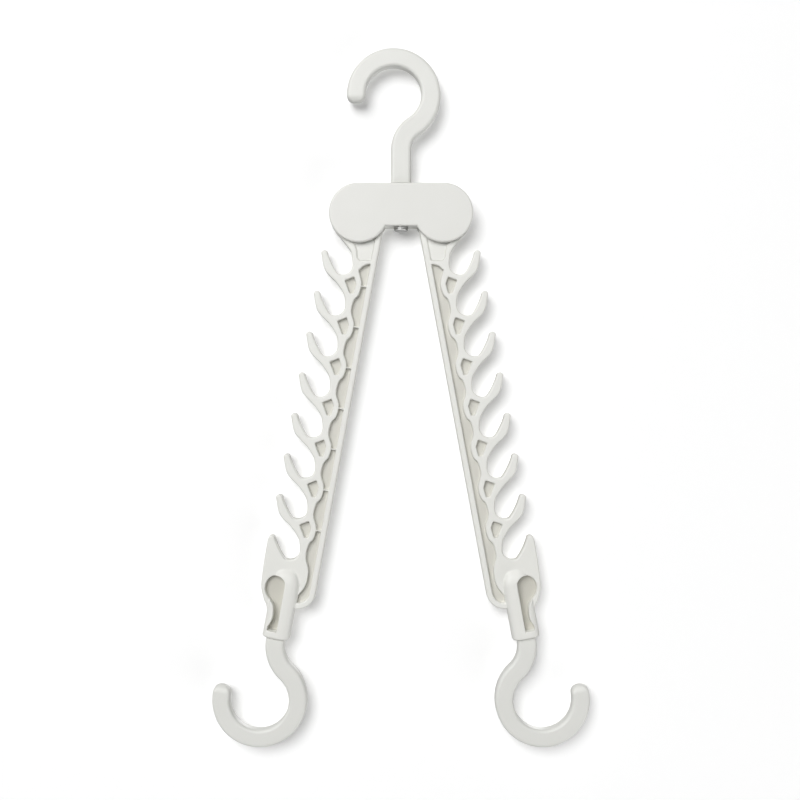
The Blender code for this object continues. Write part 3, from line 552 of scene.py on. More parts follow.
def screw_rings(length, head_radius, head_height):
    """A pan head screw about Z, head above Z = 0: cross recess, crowned head, threaded shank and point.

    The recess is a star whose radius follows a cross of tapered arms, and the thread is a ridge whose
    height is a raised cosine of height over pitch less turn, to the power of THREAD_CREST.
    """
    span = DRIVE_SPAN / 2 * head_radius / SCREW_HEAD_RADIUS
    half = DRIVE_WIDTH / 2
    slope = half * (DRIVE_TAPER_SHARE - 1) / (span - half)
    corner = math.atan2(half * DRIVE_TAPER_SHARE, span)
    octant = np.concatenate((np.linspace(0, corner, DRIVE_END_STEPS),
                             np.linspace(corner, math.pi / 4, DRIVE_SIDE_STEPS)[1:]))
    quarter = np.concatenate((octant, math.pi / 2 - octant[-2:0:-1]))
    angle = np.concatenate([quarter + turn * math.pi / 2 for turn in range(4)])
    fold = np.abs((angle + math.pi / 4) % (math.pi / 2) - math.pi / 4)
    side = half * (1 - slope) / np.maximum(np.tan(fold) - slope, TINY)
    star = np.minimum(span, side) / np.cos(fold)
    plain = np.ones_like(star)
    lean = np.radians(np.linspace(0, 90, CROWN_STEPS))
    rows = [(share * star, head_height - DRIVE_DEPTH) for share in (DRIVE_CENTRE_SHARE, DRIVE_FLOOR_SHARE)]
    rows += [(star, head_height - RIM_BREAK / 2), (star + RIM_BREAK / 2, head_height)]
    flat = HEAD_FLAT_SHARE * head_radius
    rows += [((flat + (head_radius - flat) * math.sin(a)) * plain,
              head_height * (HEAD_SIDE_SHARE + (1 - HEAD_SIDE_SHARE) * math.cos(a))) for a in lean]
    rows += [(head_radius * plain, RIM_BREAK / 2), ((head_radius - RIM_BREAK / 2) * plain, 0),
             (SCREW_RADIUS * plain, 0)]
    for height in np.arange(RIM_BREAK, length - SCREW_RADIUS, THREAD_PITCH / THREAD_STEPS):
        ridge = 0.5 + 0.5 * np.cos(2 * math.pi * height / THREAD_PITCH - angle)
        rows.append((SCREW_RADIUS - THREAD_HEIGHT + THREAD_HEIGHT * ridge ** THREAD_CREST, -height))
    rows += [(share * SCREW_RADIUS * plain, height)
             for share, height in zip(POINT_SHARES, (SCREW_RADIUS - length, -length))]
    return turned(rows, angle)


def washer_rings(hole, radius, thickness):
    """A washer about Z under Z = 0, its four edges broken, from a closed profile."""
    e = RIM_BREAK / 2
    profile = [(hole + e, 0), (radius - e, 0), (radius, -e), (radius, e - thickness),
               (radius - e, -thickness), (hole + e, -thickness), (hole, e - thickness), (hole, -e),
               (hole + e, 0)]
    return turned(profile, np.radians(np.linspace(0, 360, CIRCLE_STEPS + 1))[:-1])


steel = plated_steel("plated_steel", STEEL_COLOUR)
washer_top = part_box("swivel_washer")[1].z
washer = make_piece("bearing_washer", [skin(washer_rings(WASHER_HOLE, WASHER_RADIUS, WASHER_THICKNESS)
                                            + (swivel_x, 0, washer_top), closed=False)], steel)
screw_low, screw_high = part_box("swivel_screw")
rings = screw_rings(screw_high.z - screw_low.z - SCREW_HEAD_HEIGHT, SCREW_HEAD_RADIUS, SCREW_HEAD_HEIGHT)
rings = rings * (1, -1, -1) + (swivel_x, 0, screw_low.z + SCREW_HEAD_HEIGHT)
bearing_screw = make_piece("bearing_screw", [skin(rings)], steel)
for piece, node in ((washer, "swivel_washer"), (bearing_screw, "swivel_screw")):
    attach(piece, "hook")
    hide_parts(node)
for node in ("left_pivot_screw", "right_pivot_screw", "left_bridge_screw", "right_bridge_screw"):
    low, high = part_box(node)
    x, z = screw_place(node)
    rings = screw_rings(high.y - low.y - COVER_HEAD_HEIGHT, COVER_HEAD_RADIUS, COVER_HEAD_HEIGHT)
    rings = rings[:, :, [0, 2, 1]] * (1, 1, -1) + (x, high.y - COVER_HEAD_HEIGHT, z)
    closing_screw = make_piece(node.replace("screw", "closing_screw"), [skin(rings)], steel)
    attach(closing_screw, "housing")
    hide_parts(node)


# Arms
# Two off-white mouldings from one mould, the right one turned round. A flat web carries a rail, a rim and
# eight fingers, whose edges are rounded; the hollows between them have drafted walls. A round barrel at
# the foot takes the end hook, and a keyhole opens beside it. The whole is a height over the arm's plan.

ARM_FACE = 0.0040
ARM_FLOOR = 0.0008
HEAD_RADIUS = 0.0180
HEAD_END = 58
RAIL_WIDTH = 0.0039
FINGERS = 8
PITCH = 0.0280
FIRST_SLOT = 0.0360
FOOT_LENGTH = 0.0606
SLOT_RADIUS = 0.0068
SLOT_OUT = 0.0046
FINGER_TIP_RADIUS = 0.0023
FINGER_TIP_OUT = 0.0178
FINGER_TIP_RISE = 0.0051
RIB = 0.0008
RIB_ALONG_SHARE = 0.43
RIB_DROP = 0.0003
NECK_FLOOR = 0.0032
POCKET_ROUND = 0.0008
CORNER_ROUND = 0.0005
PIN_HOLE_RADIUS = 0.0053
J_OUTER_RADIUS = 0.0120
J_RISE = 0.0339
J_INSIDE_SHARE = 0.97
J_CORNER_ROUND = 0.0012
BARREL_RADIUS = 0.0093
BARREL_OUT = 0.0030
BARREL_LENGTH = 0.0366
BARREL_RAMP = 0.0120
BARREL_FACE = 0.0075
BARREL_EDGE_ROUND = 0.0016
BARREL_FLOOR = 0.0030
BARREL_CLEAR = 0.0004
END_BORE_RADIUS = 0.0038
SCREW_ROOM_RADIUS = 0.0052
SCREW_ROOM_HEIGHT = 0.0018
KEYHOLE_RADIUS = 0.0068
KEYHOLE_OUT = 0.0095
KEYHOLE_RISE = 0.0351
KEYHOLE_FLOOR = 0.0004
EDGE_ROUND = 0.0012
HOLLOW_EDGE_ROUND = 0.0007
HOLLOW_DRAFT = 0.00018
HOLLOW_FLOOR_ROUND = 0.0005
BARREL_MELD = 0.0008
BARREL_FLANK = 3.0
BARREL_SQUARE = 3.2
SEAM_HALF = 0.00012
SEAM_DEPTH = 0.00006
PLAN_STEP = 0.0007
FINE = 3
MERGED = 0.00001
FACE_MARGIN = 0.0002
BARREL_RINGS = (0.0016, 0.0023, 0.0031)
HOLLOW_MARGIN = 0.00015
FLOOR_MARGIN_SHARE = 1.3
GRID_MARGIN = 0.0015
CROWDED_SHARE = 0.93
J_FIRST = 5
HEAD_STEPS = 64
LEAD_STEPS = 16
SLOT_SWEEP = (-105, 15)
SLOT_STEPS = 9
TIP_SWEEP = (262, 100)
TIP_STEPS = 5
J_SWEEP = (-2, -90)
J_STEPS = 40
J_INSIDE_SWEEP = (-20, -90)
J_INSIDE_STEPS = 24
BARREL_CORNER_STEPS = 12
FILLET_STEPS = 6
FILLET_SHARE = 0.45
SOCKET_STEPS = 48
INSIDE_SHARE = 0.999
EDGE_LEANS = (22.5, 45, 67.5, 90)
FLOOR_LEANS = (0, 30, 60, 90)
MITRE_LEAST = 0.5
LEAST_SQUARED = 1e-18
ARM_COLOUR = (0.792, 0.792, 0.758)
ARM_ROUGHNESS = 0.45
ARM_GRAIN = 0.6
# Painted shade: a darker, warmer tint for the floors of the hollows, standing in for the shade that their
# walls cast
HOLLOW_SHADE = (0.70, 0.685, 0.645)
FULL_SHADE_DEPTH = 0.0004
PLAIN_DEPTH = 0.0020

# Outlines as (outwards, along) shares of the pitch, counted from a cradle's centre
SHOULDER_SHARES = ((0.493, -0.825), (0.330, -0.631), (0.089, -0.414), (-0.012, -0.272))
INNER_FLANK_SHARES = ((0.340, 0.123), (0.472, -0.053))
OUTER_FLANK_SHARES = ((0.700, -0.133), (0.552, 0.212), (0.214, 0.472), (0.010, 0.694), (-0.048, 0.830))
POCKET_SHARES = ((-0.169, 0.239), (0.039, 0.364), (-0.135, 0.651), (-0.227, 0.643), (-0.251, 0.402))
CHANNEL_TOP_SHARES = ((-0.410, -0.104), (-0.325, -0.043), (-0.265, 0.040))
SPINE_SHARES = ((-0.251, 0.084), (-0.370, 0.360), (-0.353, 0.640), (-0.265, 0.795))
NECK_SHARES = ((-0.500, -0.224), (-0.229, -0.157), (-0.152, -0.224), (-0.120, -0.369), (-0.036, -0.525),
               (0.096, -0.646), (0.048, -0.754), (-0.500, -0.850))

# The foot's outline: shares of the pitch outwards, and of the foot's length along it
END_FLANK_SHARES = ((0.728, -0.028), (0.721, 0.169), (0.700, 0.365), (0.668, 0.478), (0.564, 0.591),
                    (0.465, 0.664), (0.372, 0.808))
END_LOBE_SHARES = ((-0.251, 0.106), (-0.373, 0.434), (-0.369, 0.813), (-0.231, 1.105))

# The keyhole as (outwards, along) shares of its radius, counted from its round end's centre
KEYHOLE_SHARES = ((0.99, 0.00), (0.99, 0.35), (0.86, 0.82), (0.54, 1.24), (0.15, 1.58), (-0.14, 1.98),
                  (-0.28, 2.57), (-0.30, 3.17), (-0.18, 3.66), (0.00, 4.02), (0.00, 4.33), (-0.12, 4.44),
                  (-0.84, 4.44), (-0.96, 4.31), (-0.96, 2.00), (-0.94, -0.15), (-0.80, -0.62),
                  (-0.47, -0.90), (-0.05, -1.00), (0.42, -0.88), (0.80, -0.54))

LAST_SLOT = FIRST_SLOT + (FINGERS - 1) * PITCH
ARM_LENGTH = LAST_SLOT + FOOT_LENGTH
BARREL_TOP = ARM_LENGTH - BARREL_LENGTH
J_ALONG = ARM_LENGTH - J_RISE
RAIL_EDGE = -HEAD_RADIUS
RAIL_INNER = RAIL_EDGE + RAIL_WIDTH


def from_shares(shares, unit, along, stretch=None):
    """Arm points (along, outwards) of (outwards, along) shares of unit, counted from a place along it."""
    out, length = np.array(shares).T
    return np.column_stack((along + length * (stretch or unit), out * unit))


def flow(*stretches):
    """A smooth line (Catmull-Rom) through stacked points; the first and last only lead it in and out."""
    p = np.vstack(stretches)
    a, b, c, d = p[:-3], p[1:-2], p[2:-1], p[3:]
    t = (np.arange(2 * FINE) / (2 * FINE))[:, None, None]
    line = 0.5 * (2 * b + (c - a) * t + (2 * a - 5 * b + 4 * c - d) * t ** 2
                  + (3 * b - a - 3 * c + d) * t ** 3)
    return np.vstack((line.transpose(1, 0, 2).reshape(-1, 2), p[-2:-1]))


def filleted(corners, radius):
    """A closed outline whose corners are bent as curves (1-t)^2 start + 2t(1-t) corner + t^2 end."""
    back = np.roll(corners, 1, axis=0) - corners
    ahead = np.roll(corners, -1, axis=0) - corners
    back_length, ahead_length = (np.hypot(*side.T)[:, None] for side in (back, ahead))
    back, ahead = back / back_length, ahead / ahead_length
    half = np.arccos(np.clip((back * ahead).sum(1, keepdims=True), -1, 1)) / 2
    reach = np.minimum(radius / np.tan(half), FILLET_SHARE * np.minimum(back_length, ahead_length))
    t = np.linspace(0, 1, FILLET_STEPS + 1)[:, None, None]
    start, end = corners + back * reach, corners + ahead * reach
    bent = (1 - t) ** 2 * start + 2 * t * (1 - t) * corners + t ** 2 * end
    return bent.transpose(1, 0, 2).reshape(-1, 2)


def finely(loop):
    """A closed counterclockwise loop whose sides are cut in equal lengths no longer than PLAN_STEP."""
    loop = loop[np.hypot(*(loop - np.roll(loop, 1, axis=0)).T) > MERGED]
    ahead = np.roll(loop, -1, axis=0) - loop
    parts = np.maximum(1, np.ceil(np.hypot(*ahead.T) / PLAN_STEP)).astype(int)
    side = np.repeat(np.arange(len(loop)), parts)
    t = (np.arange(parts.sum()) - np.repeat(np.cumsum(parts) - parts, parts)) / parts[side]
    fine = loop[side] + t[:, None] * ahead[side]
    x, z = fine.T
    turning = (x * np.roll(z, -1) - np.roll(x, -1) * z).sum()
    return fine if turning > 0 else fine[::-1]


def arm_flanks():
    """The arm's outline from the head down past the last finger to its flank, as (along, outwards)."""
    parts = [arc((0, 0), HEAD_RADIUS, 270, HEAD_END, HEAD_STEPS)]
    lead = arc((0, 0), HEAD_RADIUS, 270, HEAD_END, LEAD_STEPS)[-2:]
    stretch = from_shares(SHOULDER_SHARES, PITCH, FIRST_SLOT)
    for centre in FIRST_SLOT + PITCH * np.arange(FINGERS):
        slot = arc((centre, SLOT_OUT), SLOT_RADIUS, *SLOT_SWEEP, SLOT_STEPS * FINE)
        tip = arc((centre - FINGER_TIP_RISE, FINGER_TIP_OUT), FINGER_TIP_RADIUS, *TIP_SWEEP,
                  TIP_STEPS * FINE)
        parts += [flow(lead, stretch, slot[:2 * FINE:FINE])[1:-1], slot]
        flank = from_shares(INNER_FLANK_SHARES, PITCH, centre)
        parts += [flow(slot[-1 - FINE::FINE], flank, tip[:2 * FINE:FINE])[1:-1], tip]
        lead = tip[-1 - FINE::FINE]
        stretch = from_shares(OUTER_FLANK_SHARES, PITCH, centre)
    return np.vstack(parts), lead


def arm_outlines():
    """The flat arm's outline, and the whole outline with the barrel's sides."""
    flanks, lead = arm_flanks()
    foot = from_shares(END_FLANK_SHARES, PITCH, LAST_SLOT, FOOT_LENGTH)
    j_curve = arc((J_ALONG, RAIL_EDGE + J_OUTER_RADIUS), J_OUTER_RADIUS, *J_SWEEP, J_STEPS)
    inside = BARREL_RADIUS / 2
    mouth = ARM_LENGTH - 2 * BARREL_EDGE_ROUND
    flat = np.vstack((flanks, flow(lead, foot, [(ARM_LENGTH, foot[-1, 1])])[1:],
                      [(mouth, BARREL_OUT + inside), (mouth, BARREL_OUT - inside),
                       (J_ALONG + J_OUTER_RADIUS, BARREL_OUT - inside)], j_curve))
    outer = BARREL_OUT + BARREL_RADIUS
    inner = BARREL_OUT - BARREL_RADIUS
    low = ARM_LENGTH - BARREL_EDGE_ROUND
    corner = BARREL_RADIUS - BARREL_EDGE_ROUND
    meet = foot[-2, 0] + 2 * BARREL_EDGE_ROUND
    side = np.array([(meet, outer), (meet + BARREL_EDGE_ROUND, outer)])
    corners = np.array([(low, inner), (J_ALONG + J_OUTER_RADIUS, inner), j_curve[J_FIRST - 1]])
    bend = filleted(corners, J_CORNER_ROUND).reshape(len(corners), -1, 2)[1]
    mouth_corners = [arc((low, BARREL_OUT + corner), BARREL_EDGE_ROUND, 90, 0, BARREL_CORNER_STEPS),
                     arc((low, BARREL_OUT - corner), BARREL_EDGE_ROUND, 0, -90, BARREL_CORNER_STEPS)]
    whole = np.vstack((flanks, flow(lead, foot[:-1], side)[1:], *mouth_corners, bend, j_curve[J_FIRST:]))
    return finely(flat), finely(whole)


def spine_line():
    """The channel's outer edge, from its top to the barrel, as (along, outwards)."""
    spine = [from_shares(CHANNEL_TOP_SHARES, PITCH, FIRST_SLOT)]
    spine += [from_shares(SPINE_SHARES, PITCH, FIRST_SLOT + k * PITCH) for k in range(FINGERS - 1)]
    spine.append(from_shares(END_LOBE_SHARES, PITCH, LAST_SLOT, J_ALONG - LAST_SLOT))
    spine = np.vstack(spine)
    inner = J_OUTER_RADIUS - RAIL_WIDTH
    return np.vstack((flow(spine[:1], spine, spine[-1:]),
                      [(J_ALONG + inner * J_INSIDE_SHARE, BARREL_OUT - BARREL_RADIUS - BARREL_CLEAR)]))


def channel_loops(ribs):
    """The channel between the rail and the spine, parted by ribs at the places along the arm."""
    line = spine_line()
    inner = J_OUTER_RADIUS - RAIL_WIDTH
    top = line[0, 0] - POCKET_ROUND
    starts = [top] + [place + RIB / 2 for place in ribs]
    ends = [place - RIB / 2 for place in ribs] + [J_ALONG]
    loops = []
    for start, end in zip(starts, ends):
        between = line[(line[:, 0] > start + RIB / 4) & (line[:, 0] < end - RIB / 4)]
        first = line[0, 1] if start == top else np.interp(start, *line.T)
        loop = [[(start, RAIL_INNER), (max(start, line[0, 0]), first)], between]
        if end == J_ALONG:
            loop += [line[line[:, 0] >= end],
                     arc((J_ALONG, RAIL_EDGE + J_OUTER_RADIUS), inner, *J_INSIDE_SWEEP, J_INSIDE_STEPS)]
        else:
            loop += [[(end, np.interp(end, *line.T)), (end, RAIL_INNER)]]
        loops.append(np.vstack(loop))
    return loops


def softened(loop):
    """Rounds by CORNER_ROUND only those corners of a loop of many points that turn sharply."""
    loop = loop[np.hypot(*(loop - np.roll(loop, 1, axis=0)).T) > MERGED]
    back = loop - np.roll(loop, 1, axis=0)
    ahead = np.roll(loop, -1, axis=0) - loop
    turn = np.abs(np.angle((ahead[:, 0] + 1j * ahead[:, 1]) / (back[:, 0] + 1j * back[:, 1])))
    bent = filleted(loop, CORNER_ROUND).reshape(len(loop), -1, 2)
    return np.vstack([bend if sharp else [corner]
                      for corner, bend, sharp in zip(loop, bent, turn > math.radians(SHARP_TURN))])


def distance(points, loops):
    """Each point's distance to the nearest side of the closed loops."""
    start = np.vstack(loops)
    run = np.vstack([np.roll(loop, -1, axis=0) - loop for loop in loops])
    squared = np.maximum((run ** 2).sum(1), LEAST_SQUARED)
    found = []
    for part in np.array_split(points, len(points) // BATCH + 1):
        x = part[:, :1] - start[:, 0]
        z = part[:, 1:] - start[:, 1]
        t = np.clip((x * run[:, 0] + z * run[:, 1]) / squared, 0, 1)
        found.append(np.sqrt(((x - t * run[:, 0]) ** 2 + (z - t * run[:, 1]) ** 2).min(1)))
    return np.concatenate(found)


def stepped_in(loop, reach):
    """A counterclockwise loop moved inward by reach along its corners' middle directions."""
    ahead = np.roll(loop, -1, axis=0) - loop
    ahead /= np.hypot(*ahead.T)[:, None]
    normal = np.column_stack((-ahead[:, 1], ahead[:, 0]))
    before = np.roll(normal, 1, axis=0)
    middle = (normal + before) / np.maximum(1 + (normal * before).sum(1), MITRE_LEAST)[:, None]
    return loop + np.reshape(reach, (-1, 1)) * middle


def round_drop(reach, radius):
    """How far a rounded edge lies under its face at a distance from its rim: r - sqrt(r^2 - (r - d)^2)."""
    left = radius - np.clip(reach, 0, radius)
    return radius - np.sqrt(radius ** 2 - left ** 2)


def barrel_height(plan):
    """The barrel's front over the plan, under a domed top and a rounded mouth.

    Across, it is (e^p - |x|^p)^(1/p) with p over 2, which is flatter than round, with fuller sides.
    """
    along, out = plan.T
    dome = np.sqrt(np.clip(1 - (np.clip(BARREL_TOP - along, 0, BARREL_RAMP) / BARREL_RAMP) ** 2, 0, 1))
    past = np.clip(along - (ARM_LENGTH - BARREL_EDGE_ROUND), 0, BARREL_EDGE_ROUND)
    lip = 1 - (BARREL_EDGE_ROUND - np.sqrt(BARREL_EDGE_ROUND ** 2 - past ** 2)) / BARREL_RADIUS
    across = np.abs(out - BARREL_OUT) / BARREL_RADIUS
    power = BARREL_SQUARE
    return BARREL_FACE * np.clip((dome * lip) ** power - across ** power, 0, 1) ** (1 / power)


def meld(a, b):
    """The higher of two heights, with a fillet where they cross: + max(k - |a - b|, 0)^2 / 4k."""
    return np.maximum(a, b) + np.maximum(BARREL_MELD - np.abs(a - b), 0) ** 2 / (4 * BARREL_MELD)


def arm_side(facing, flat, whole, hollows, ribs):
    """One side of the arm: points (local x, y, z), triangles and how many rim points lead them.

    Over the plan the height is the flat face, less the rounded drop at its outline, melded with the barrel,
    less the drop at a hollow's rim. A hollow falls by its draft to a rounded floor.
    """
    loops = [whole] + [loop for loop, floor in hollows]
    rims = np.vstack(loops)
    lean = np.radians(EDGE_LEANS)
    steps = EDGE_ROUND * (1 - np.cos(lean))
    face, reaches = [], []
    for reach in (*steps, EDGE_ROUND + FACE_MARGIN, *BARREL_RINGS):
        kept = (reach not in BARREL_RINGS) | (whole[:, 0] > BARREL_TOP - BARREL_RAMP)
        face.append(stepped_in(whole, reach)[kept])
        reaches.append(np.full(kept.sum(), reach))
    pits, pit_floors, pit_reaches = [], [], []
    for loop, floor in hollows:
        for reach in (*(HOLLOW_EDGE_ROUND * (1 - np.cos(lean))), HOLLOW_EDGE_ROUND + HOLLOW_MARGIN):
            face.append(stepped_in(loop, -reach))
            reaches.append(np.full(len(loop), reach))
        if floor is None:
            continue
        for share in (*(1 - np.cos(np.radians(FLOOR_LEANS))), FLOOR_MARGIN_SHARE):
            reach = HOLLOW_DRAFT + share * HOLLOW_FLOOR_ROUND
            pits.append(stepped_in(loop, reach))
            pit_floors.append(np.full(len(loop), floor))
            pit_reaches.append(np.full(len(loop), reach))
    span = np.arange(BARREL_TOP - BARREL_RAMP - PITCH / 4, ARM_LENGTH, PLAN_STEP)
    width = np.arange(BARREL_OUT - BARREL_RADIUS, FINGER_TIP_OUT + SLOT_RADIUS, PLAN_STEP)
    grid = np.stack(np.meshgrid(span, width), axis=2).reshape(-1, 2)
    grid = grid[within(grid, whole)]
    for loop, floor in hollows:
        grid = grid[~within(grid, loop)]
    face.append(grid)
    reaches.append(np.full(len(grid), GRID_MARGIN))
    face, reaches = np.vstack(face), np.concatenate(reaches)
    keep = distance(face, loops) > CROWDED_SHARE * reaches
    face = face[keep]
    pits, pit_floors, pit_reaches = np.vstack(pits), np.concatenate(pit_floors), np.concatenate(pit_reaches)
    keep = distance(pits, loops) > CROWDED_SHARE * pit_reaches
    pits, pit_floors = pits[keep], pit_floors[keep]

    plan = np.vstack((rims, face))
    signed = distance(plan, [flat])
    inside = within(plan, flat)
    plate = np.where(inside | (signed < 2 * MERGED), ARM_FACE - round_drop(signed, EDGE_ROUND),
                     ARM_FACE - EDGE_ROUND - BARREL_FLANK * signed)
    line = spine_line()
    for place in ribs:
        edge = np.interp(place, *line.T)
        along_rib = np.abs(plan[:, 0] - place) < RIB
        in_channel = np.clip(np.minimum(plan[:, 1] - RAIL_INNER, edge - plan[:, 1]) / CORNER_ROUND, 0, 1)
        plate = plate - RIB_DROP * along_rib * in_channel
    height = meld(np.maximum(plate, 0), barrel_height(plan))
    height = np.where(plate <= 0, barrel_height(plan), height)
    height = np.maximum(height - round_drop(distance(plan, loops[1:]), HOLLOW_EDGE_ROUND), 0)

    rim_distance = distance(pits, loops) - HOLLOW_DRAFT
    pit_height = pit_floors + round_drop(rim_distance, HOLLOW_FLOOR_ROUND)
    points, corners = triangles(loops, [face, pits])
    height = np.concatenate((height, pit_height))
    middles = points[corners].mean(axis=1)
    pin = np.hypot(*middles.T) < PIN_HOLE_RADIUS * INSIDE_SHARE
    return (np.column_stack((-points[:, 1], facing * height, -points[:, 0])), corners[~pin], len(rims))


def arm_walls(front, back, loops):
    """The walls between the two sides' rims at the outline and the pin hole, with a fine mould seam."""
    patches = []
    first = 0
    for loop, reach in loops:
        here = np.arange(first, first + len(loop))
        first += len(loop)
        if reach is None:
            continue
        near, far = front[here], back[here]
        seam = stepped_in(loop, reach * (far[:, 1] > SEAM_HALF))
        plan = np.column_stack((-loop[:, 1], np.zeros(len(loop)), -loop[:, 0]))
        groove = np.column_stack((-seam[:, 1], np.zeros(len(loop)), -seam[:, 0]))
        lip = np.column_stack((np.zeros(len(loop)), np.minimum(SEAM_HALF, far[:, 1]), np.zeros(len(loop))))
        patches.append(skin(np.stack((near, plan - lip, groove, plan + lip, far)), closed=False))
    return patches


def arm_mesh():
    """The arm moulding in its own frame: pivot at the origin, foot down, fingers to -X."""
    flat, whole = arm_outlines()
    keyhole = from_shares(KEYHOLE_SHARES, KEYHOLE_RADIUS, ARM_LENGTH - KEYHOLE_RISE) + (0, KEYHOLE_OUT)
    hollows = [(finely(arc((0, 0), PIN_HOLE_RADIUS, 0, 360, CIRCLE_STEPS)[:-1]), None),
               (finely(flow(keyhole[-1:], keyhole, keyhole[:2])[:-1]), KEYHOLE_FLOOR),
               (finely(filleted(from_shares(NECK_SHARES, PITCH, FIRST_SLOT), POCKET_ROUND)), NECK_FLOOR)]
    for k in range(FINGERS - 1):
        pocket = from_shares(POCKET_SHARES, PITCH, FIRST_SLOT + k * PITCH)
        hollows.append((finely(filleted(pocket, POCKET_ROUND)), ARM_FLOOR))
    ribs = FIRST_SLOT + (np.arange(FINGERS - 1) + RIB_ALONG_SHARE) * PITCH
    sides = []
    for facing, places in ((-1, ribs), (1, [])):
        channel = [(finely(softened(loop)), ARM_FLOOR) for loop in channel_loops(list(places))]
        sides.append(arm_side(facing, flat, whole, hollows + channel, places))
    (front, front_faces, _), (back, back_faces, _) = sides
    walls = arm_walls(front, back, [(whole, SEAM_DEPTH), (hollows[0][0], -SEAM_DEPTH)])
    return [(front, front_faces.tolist()), (back, back_faces.tolist())] + walls


def bored(blank):
    """Cuts the socket for the end hook's journal, and the room for its screw, up into the barrel."""
    floor = BARREL_FLOOR - ARM_LENGTH
    profile = [(END_BORE_RADIUS, -ARM_LENGTH - BARREL_FLOOR), (END_BORE_RADIUS, floor),
               (SCREW_ROOM_RADIUS, floor), (SCREW_ROOM_RADIUS, floor + SCREW_ROOM_HEIGHT)]
    angle = np.radians(np.arange(SOCKET_STEPS) * 360 / SOCKET_STEPS)
    tool = make_piece("socket_cutter", [skin(turned(profile, angle) - (BARREL_OUT, 0, 0))], arm_plastic)
    change = blank.modifiers.new("socket", 'BOOLEAN')
    change.operation = 'DIFFERENCE'
    change.object = tool
    bpy.context.view_layer.update()
    mesh = bpy.data.meshes.new_from_object(blank.evaluated_get(bpy.context.evaluated_depsgraph_get()))
    bpy.data.objects.remove(blank)
    bpy.data.objects.remove(tool)
    return mesh


def hung(points, side, pivot):
    """Local arm points as they hang: turned round for the right arm, and tilted outward at the pivot."""
    x, y, z = points.T
    x, y = -side * x, -side * y
    tilt = math.radians(-side * ARM_TILT)
    return np.column_stack((pivot[0] + x * math.cos(tilt) + z * math.sin(tilt), y,
                            pivot[1] - x * math.sin(tilt) + z * math.cos(tilt)))


def shade_painted_hollows(finish):
    """Paints shade into the hollows: multiplies the colour by a darker, warmer tint at the deepest floors,
    fading to none near the faces, by depth |Y|, where the shade of the hollows' walls falls.
    """
    tree = finish.node_tree
    colour = tree.nodes["Principled BSDF"].inputs['Base Color']
    across = added(tree, 'ShaderNodeSeparateXYZ', {0: object_place(tree)})['Y']
    depth = added(tree, 'ShaderNodeMath', {0: across}, operation='ABSOLUTE')[0]
    fade = ranged(tree, depth, (FULL_SHADE_DEPTH, PLAIN_DEPTH), (1.0, 0.0))
    painted_shade = blended(tree, fade, colour.links[0].from_socket, (*HOLLOW_SHADE, 1), 'MULTIPLY')
    tree.links.new(painted_shade, colour)
    return finish


# The arms' colour carries painted shade on the floors of their hollows
arm_plastic = shade_painted_hollows(moulded_plastic("arm_satin", ARM_COLOUR, ARM_ROUGHNESS, ARM_GRAIN))
blank_mesh = bored(make_piece("arm_blank", arm_mesh(), arm_plastic))
blank_points = np.empty(len(blank_mesh.vertices) * 3)
blank_mesh.vertices.foreach_get("co", blank_points)
sides = (("left", -1, pivot_places[0]), ("right", 1, pivot_places[1]))
for word, side, pivot in sides:
    mesh = blank_mesh.copy()
    mesh.name = f"{word}_arm_moulding"
    mesh.vertices.foreach_set("co", hung(blank_points.reshape(-1, 3), side, pivot).ravel())
    mesh.shade_smooth()
    mesh.set_sharp_from_angle(angle=math.radians(SHARP_TURN))
    arm = placed(mesh.name, mesh)
    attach(arm, f"{word}_arm")
    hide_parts(f"{word}_arm")


# End hooks
# A smaller, rounder hook turns under each barrel on a short journal, held by a screw from inside. It is
# moulded like the top hook, with a thicker loop and a fully round tip.

END_LOOP_RADIUS = 0.0260
END_BEND_RADIUS = 0.0239
END_OFFSET = 0.0032
END_STRAIGHT = 0.0010
END_TIP = 0.0056
END_WIDTH = 0.0126
END_DEPTH = 0.0100
END_TIP_ROUND = 0.0055
END_CROWN_SHARE = 0.94
END_JOURNAL_RADIUS = 0.0035
END_PILOT_DEPTH = 0.0105
END_SCREW_LENGTH = 0.0085
END_HEAD_HEIGHT = 0.0013
FIT = 0.0003

end_line = hook_line(END_LOOP_RADIUS, END_BEND_RADIUS, END_OFFSET, END_STRAIGHT, END_TIP, END_TIP_ROUND,
                     END_CROWN_SHARE)
end_rings = np.concatenate((
    stem_foot(END_WIDTH, END_DEPTH, END_JOURNAL_RADIUS, BARREL_FLOOR + FIT, END_PILOT_DEPTH),
    carried(end_line, END_WIDTH, END_DEPTH)))
end_points, end_faces = skin(end_rings * (1, -1, -1) - (BARREL_OUT, 0, ARM_LENGTH + FIT))
screw_points, screw_faces = skin(screw_rings(END_SCREW_LENGTH, SCREW_HEAD_RADIUS, END_HEAD_HEIGHT)
                                 + (-BARREL_OUT, 0, BARREL_FLOOR + FIT - ARM_LENGTH))
for word, side, pivot in sides:
    hook = make_piece(f"{word}_end_hook_moulding", [(hung(end_points, side, pivot), end_faces)], hook_plastic)
    screw = make_piece(f"{word}_socket_screw", [(hung(screw_points, side, pivot), screw_faces)], steel)
    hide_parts(f"{word}_end_hook")
    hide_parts(f"{word}_end_screw")
    for piece in (hook, screw):
        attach(piece, f"{word}_end_hook")


# Backdrop and light
# A plain white wall right behind the hanger takes its soft shadow. Broad soft light comes from the upper
# left and a nearer lamp brightens the top. A weak one skims the wall from the lower right and lifts the
# flanks, another shows the back, and a pale room fills in.

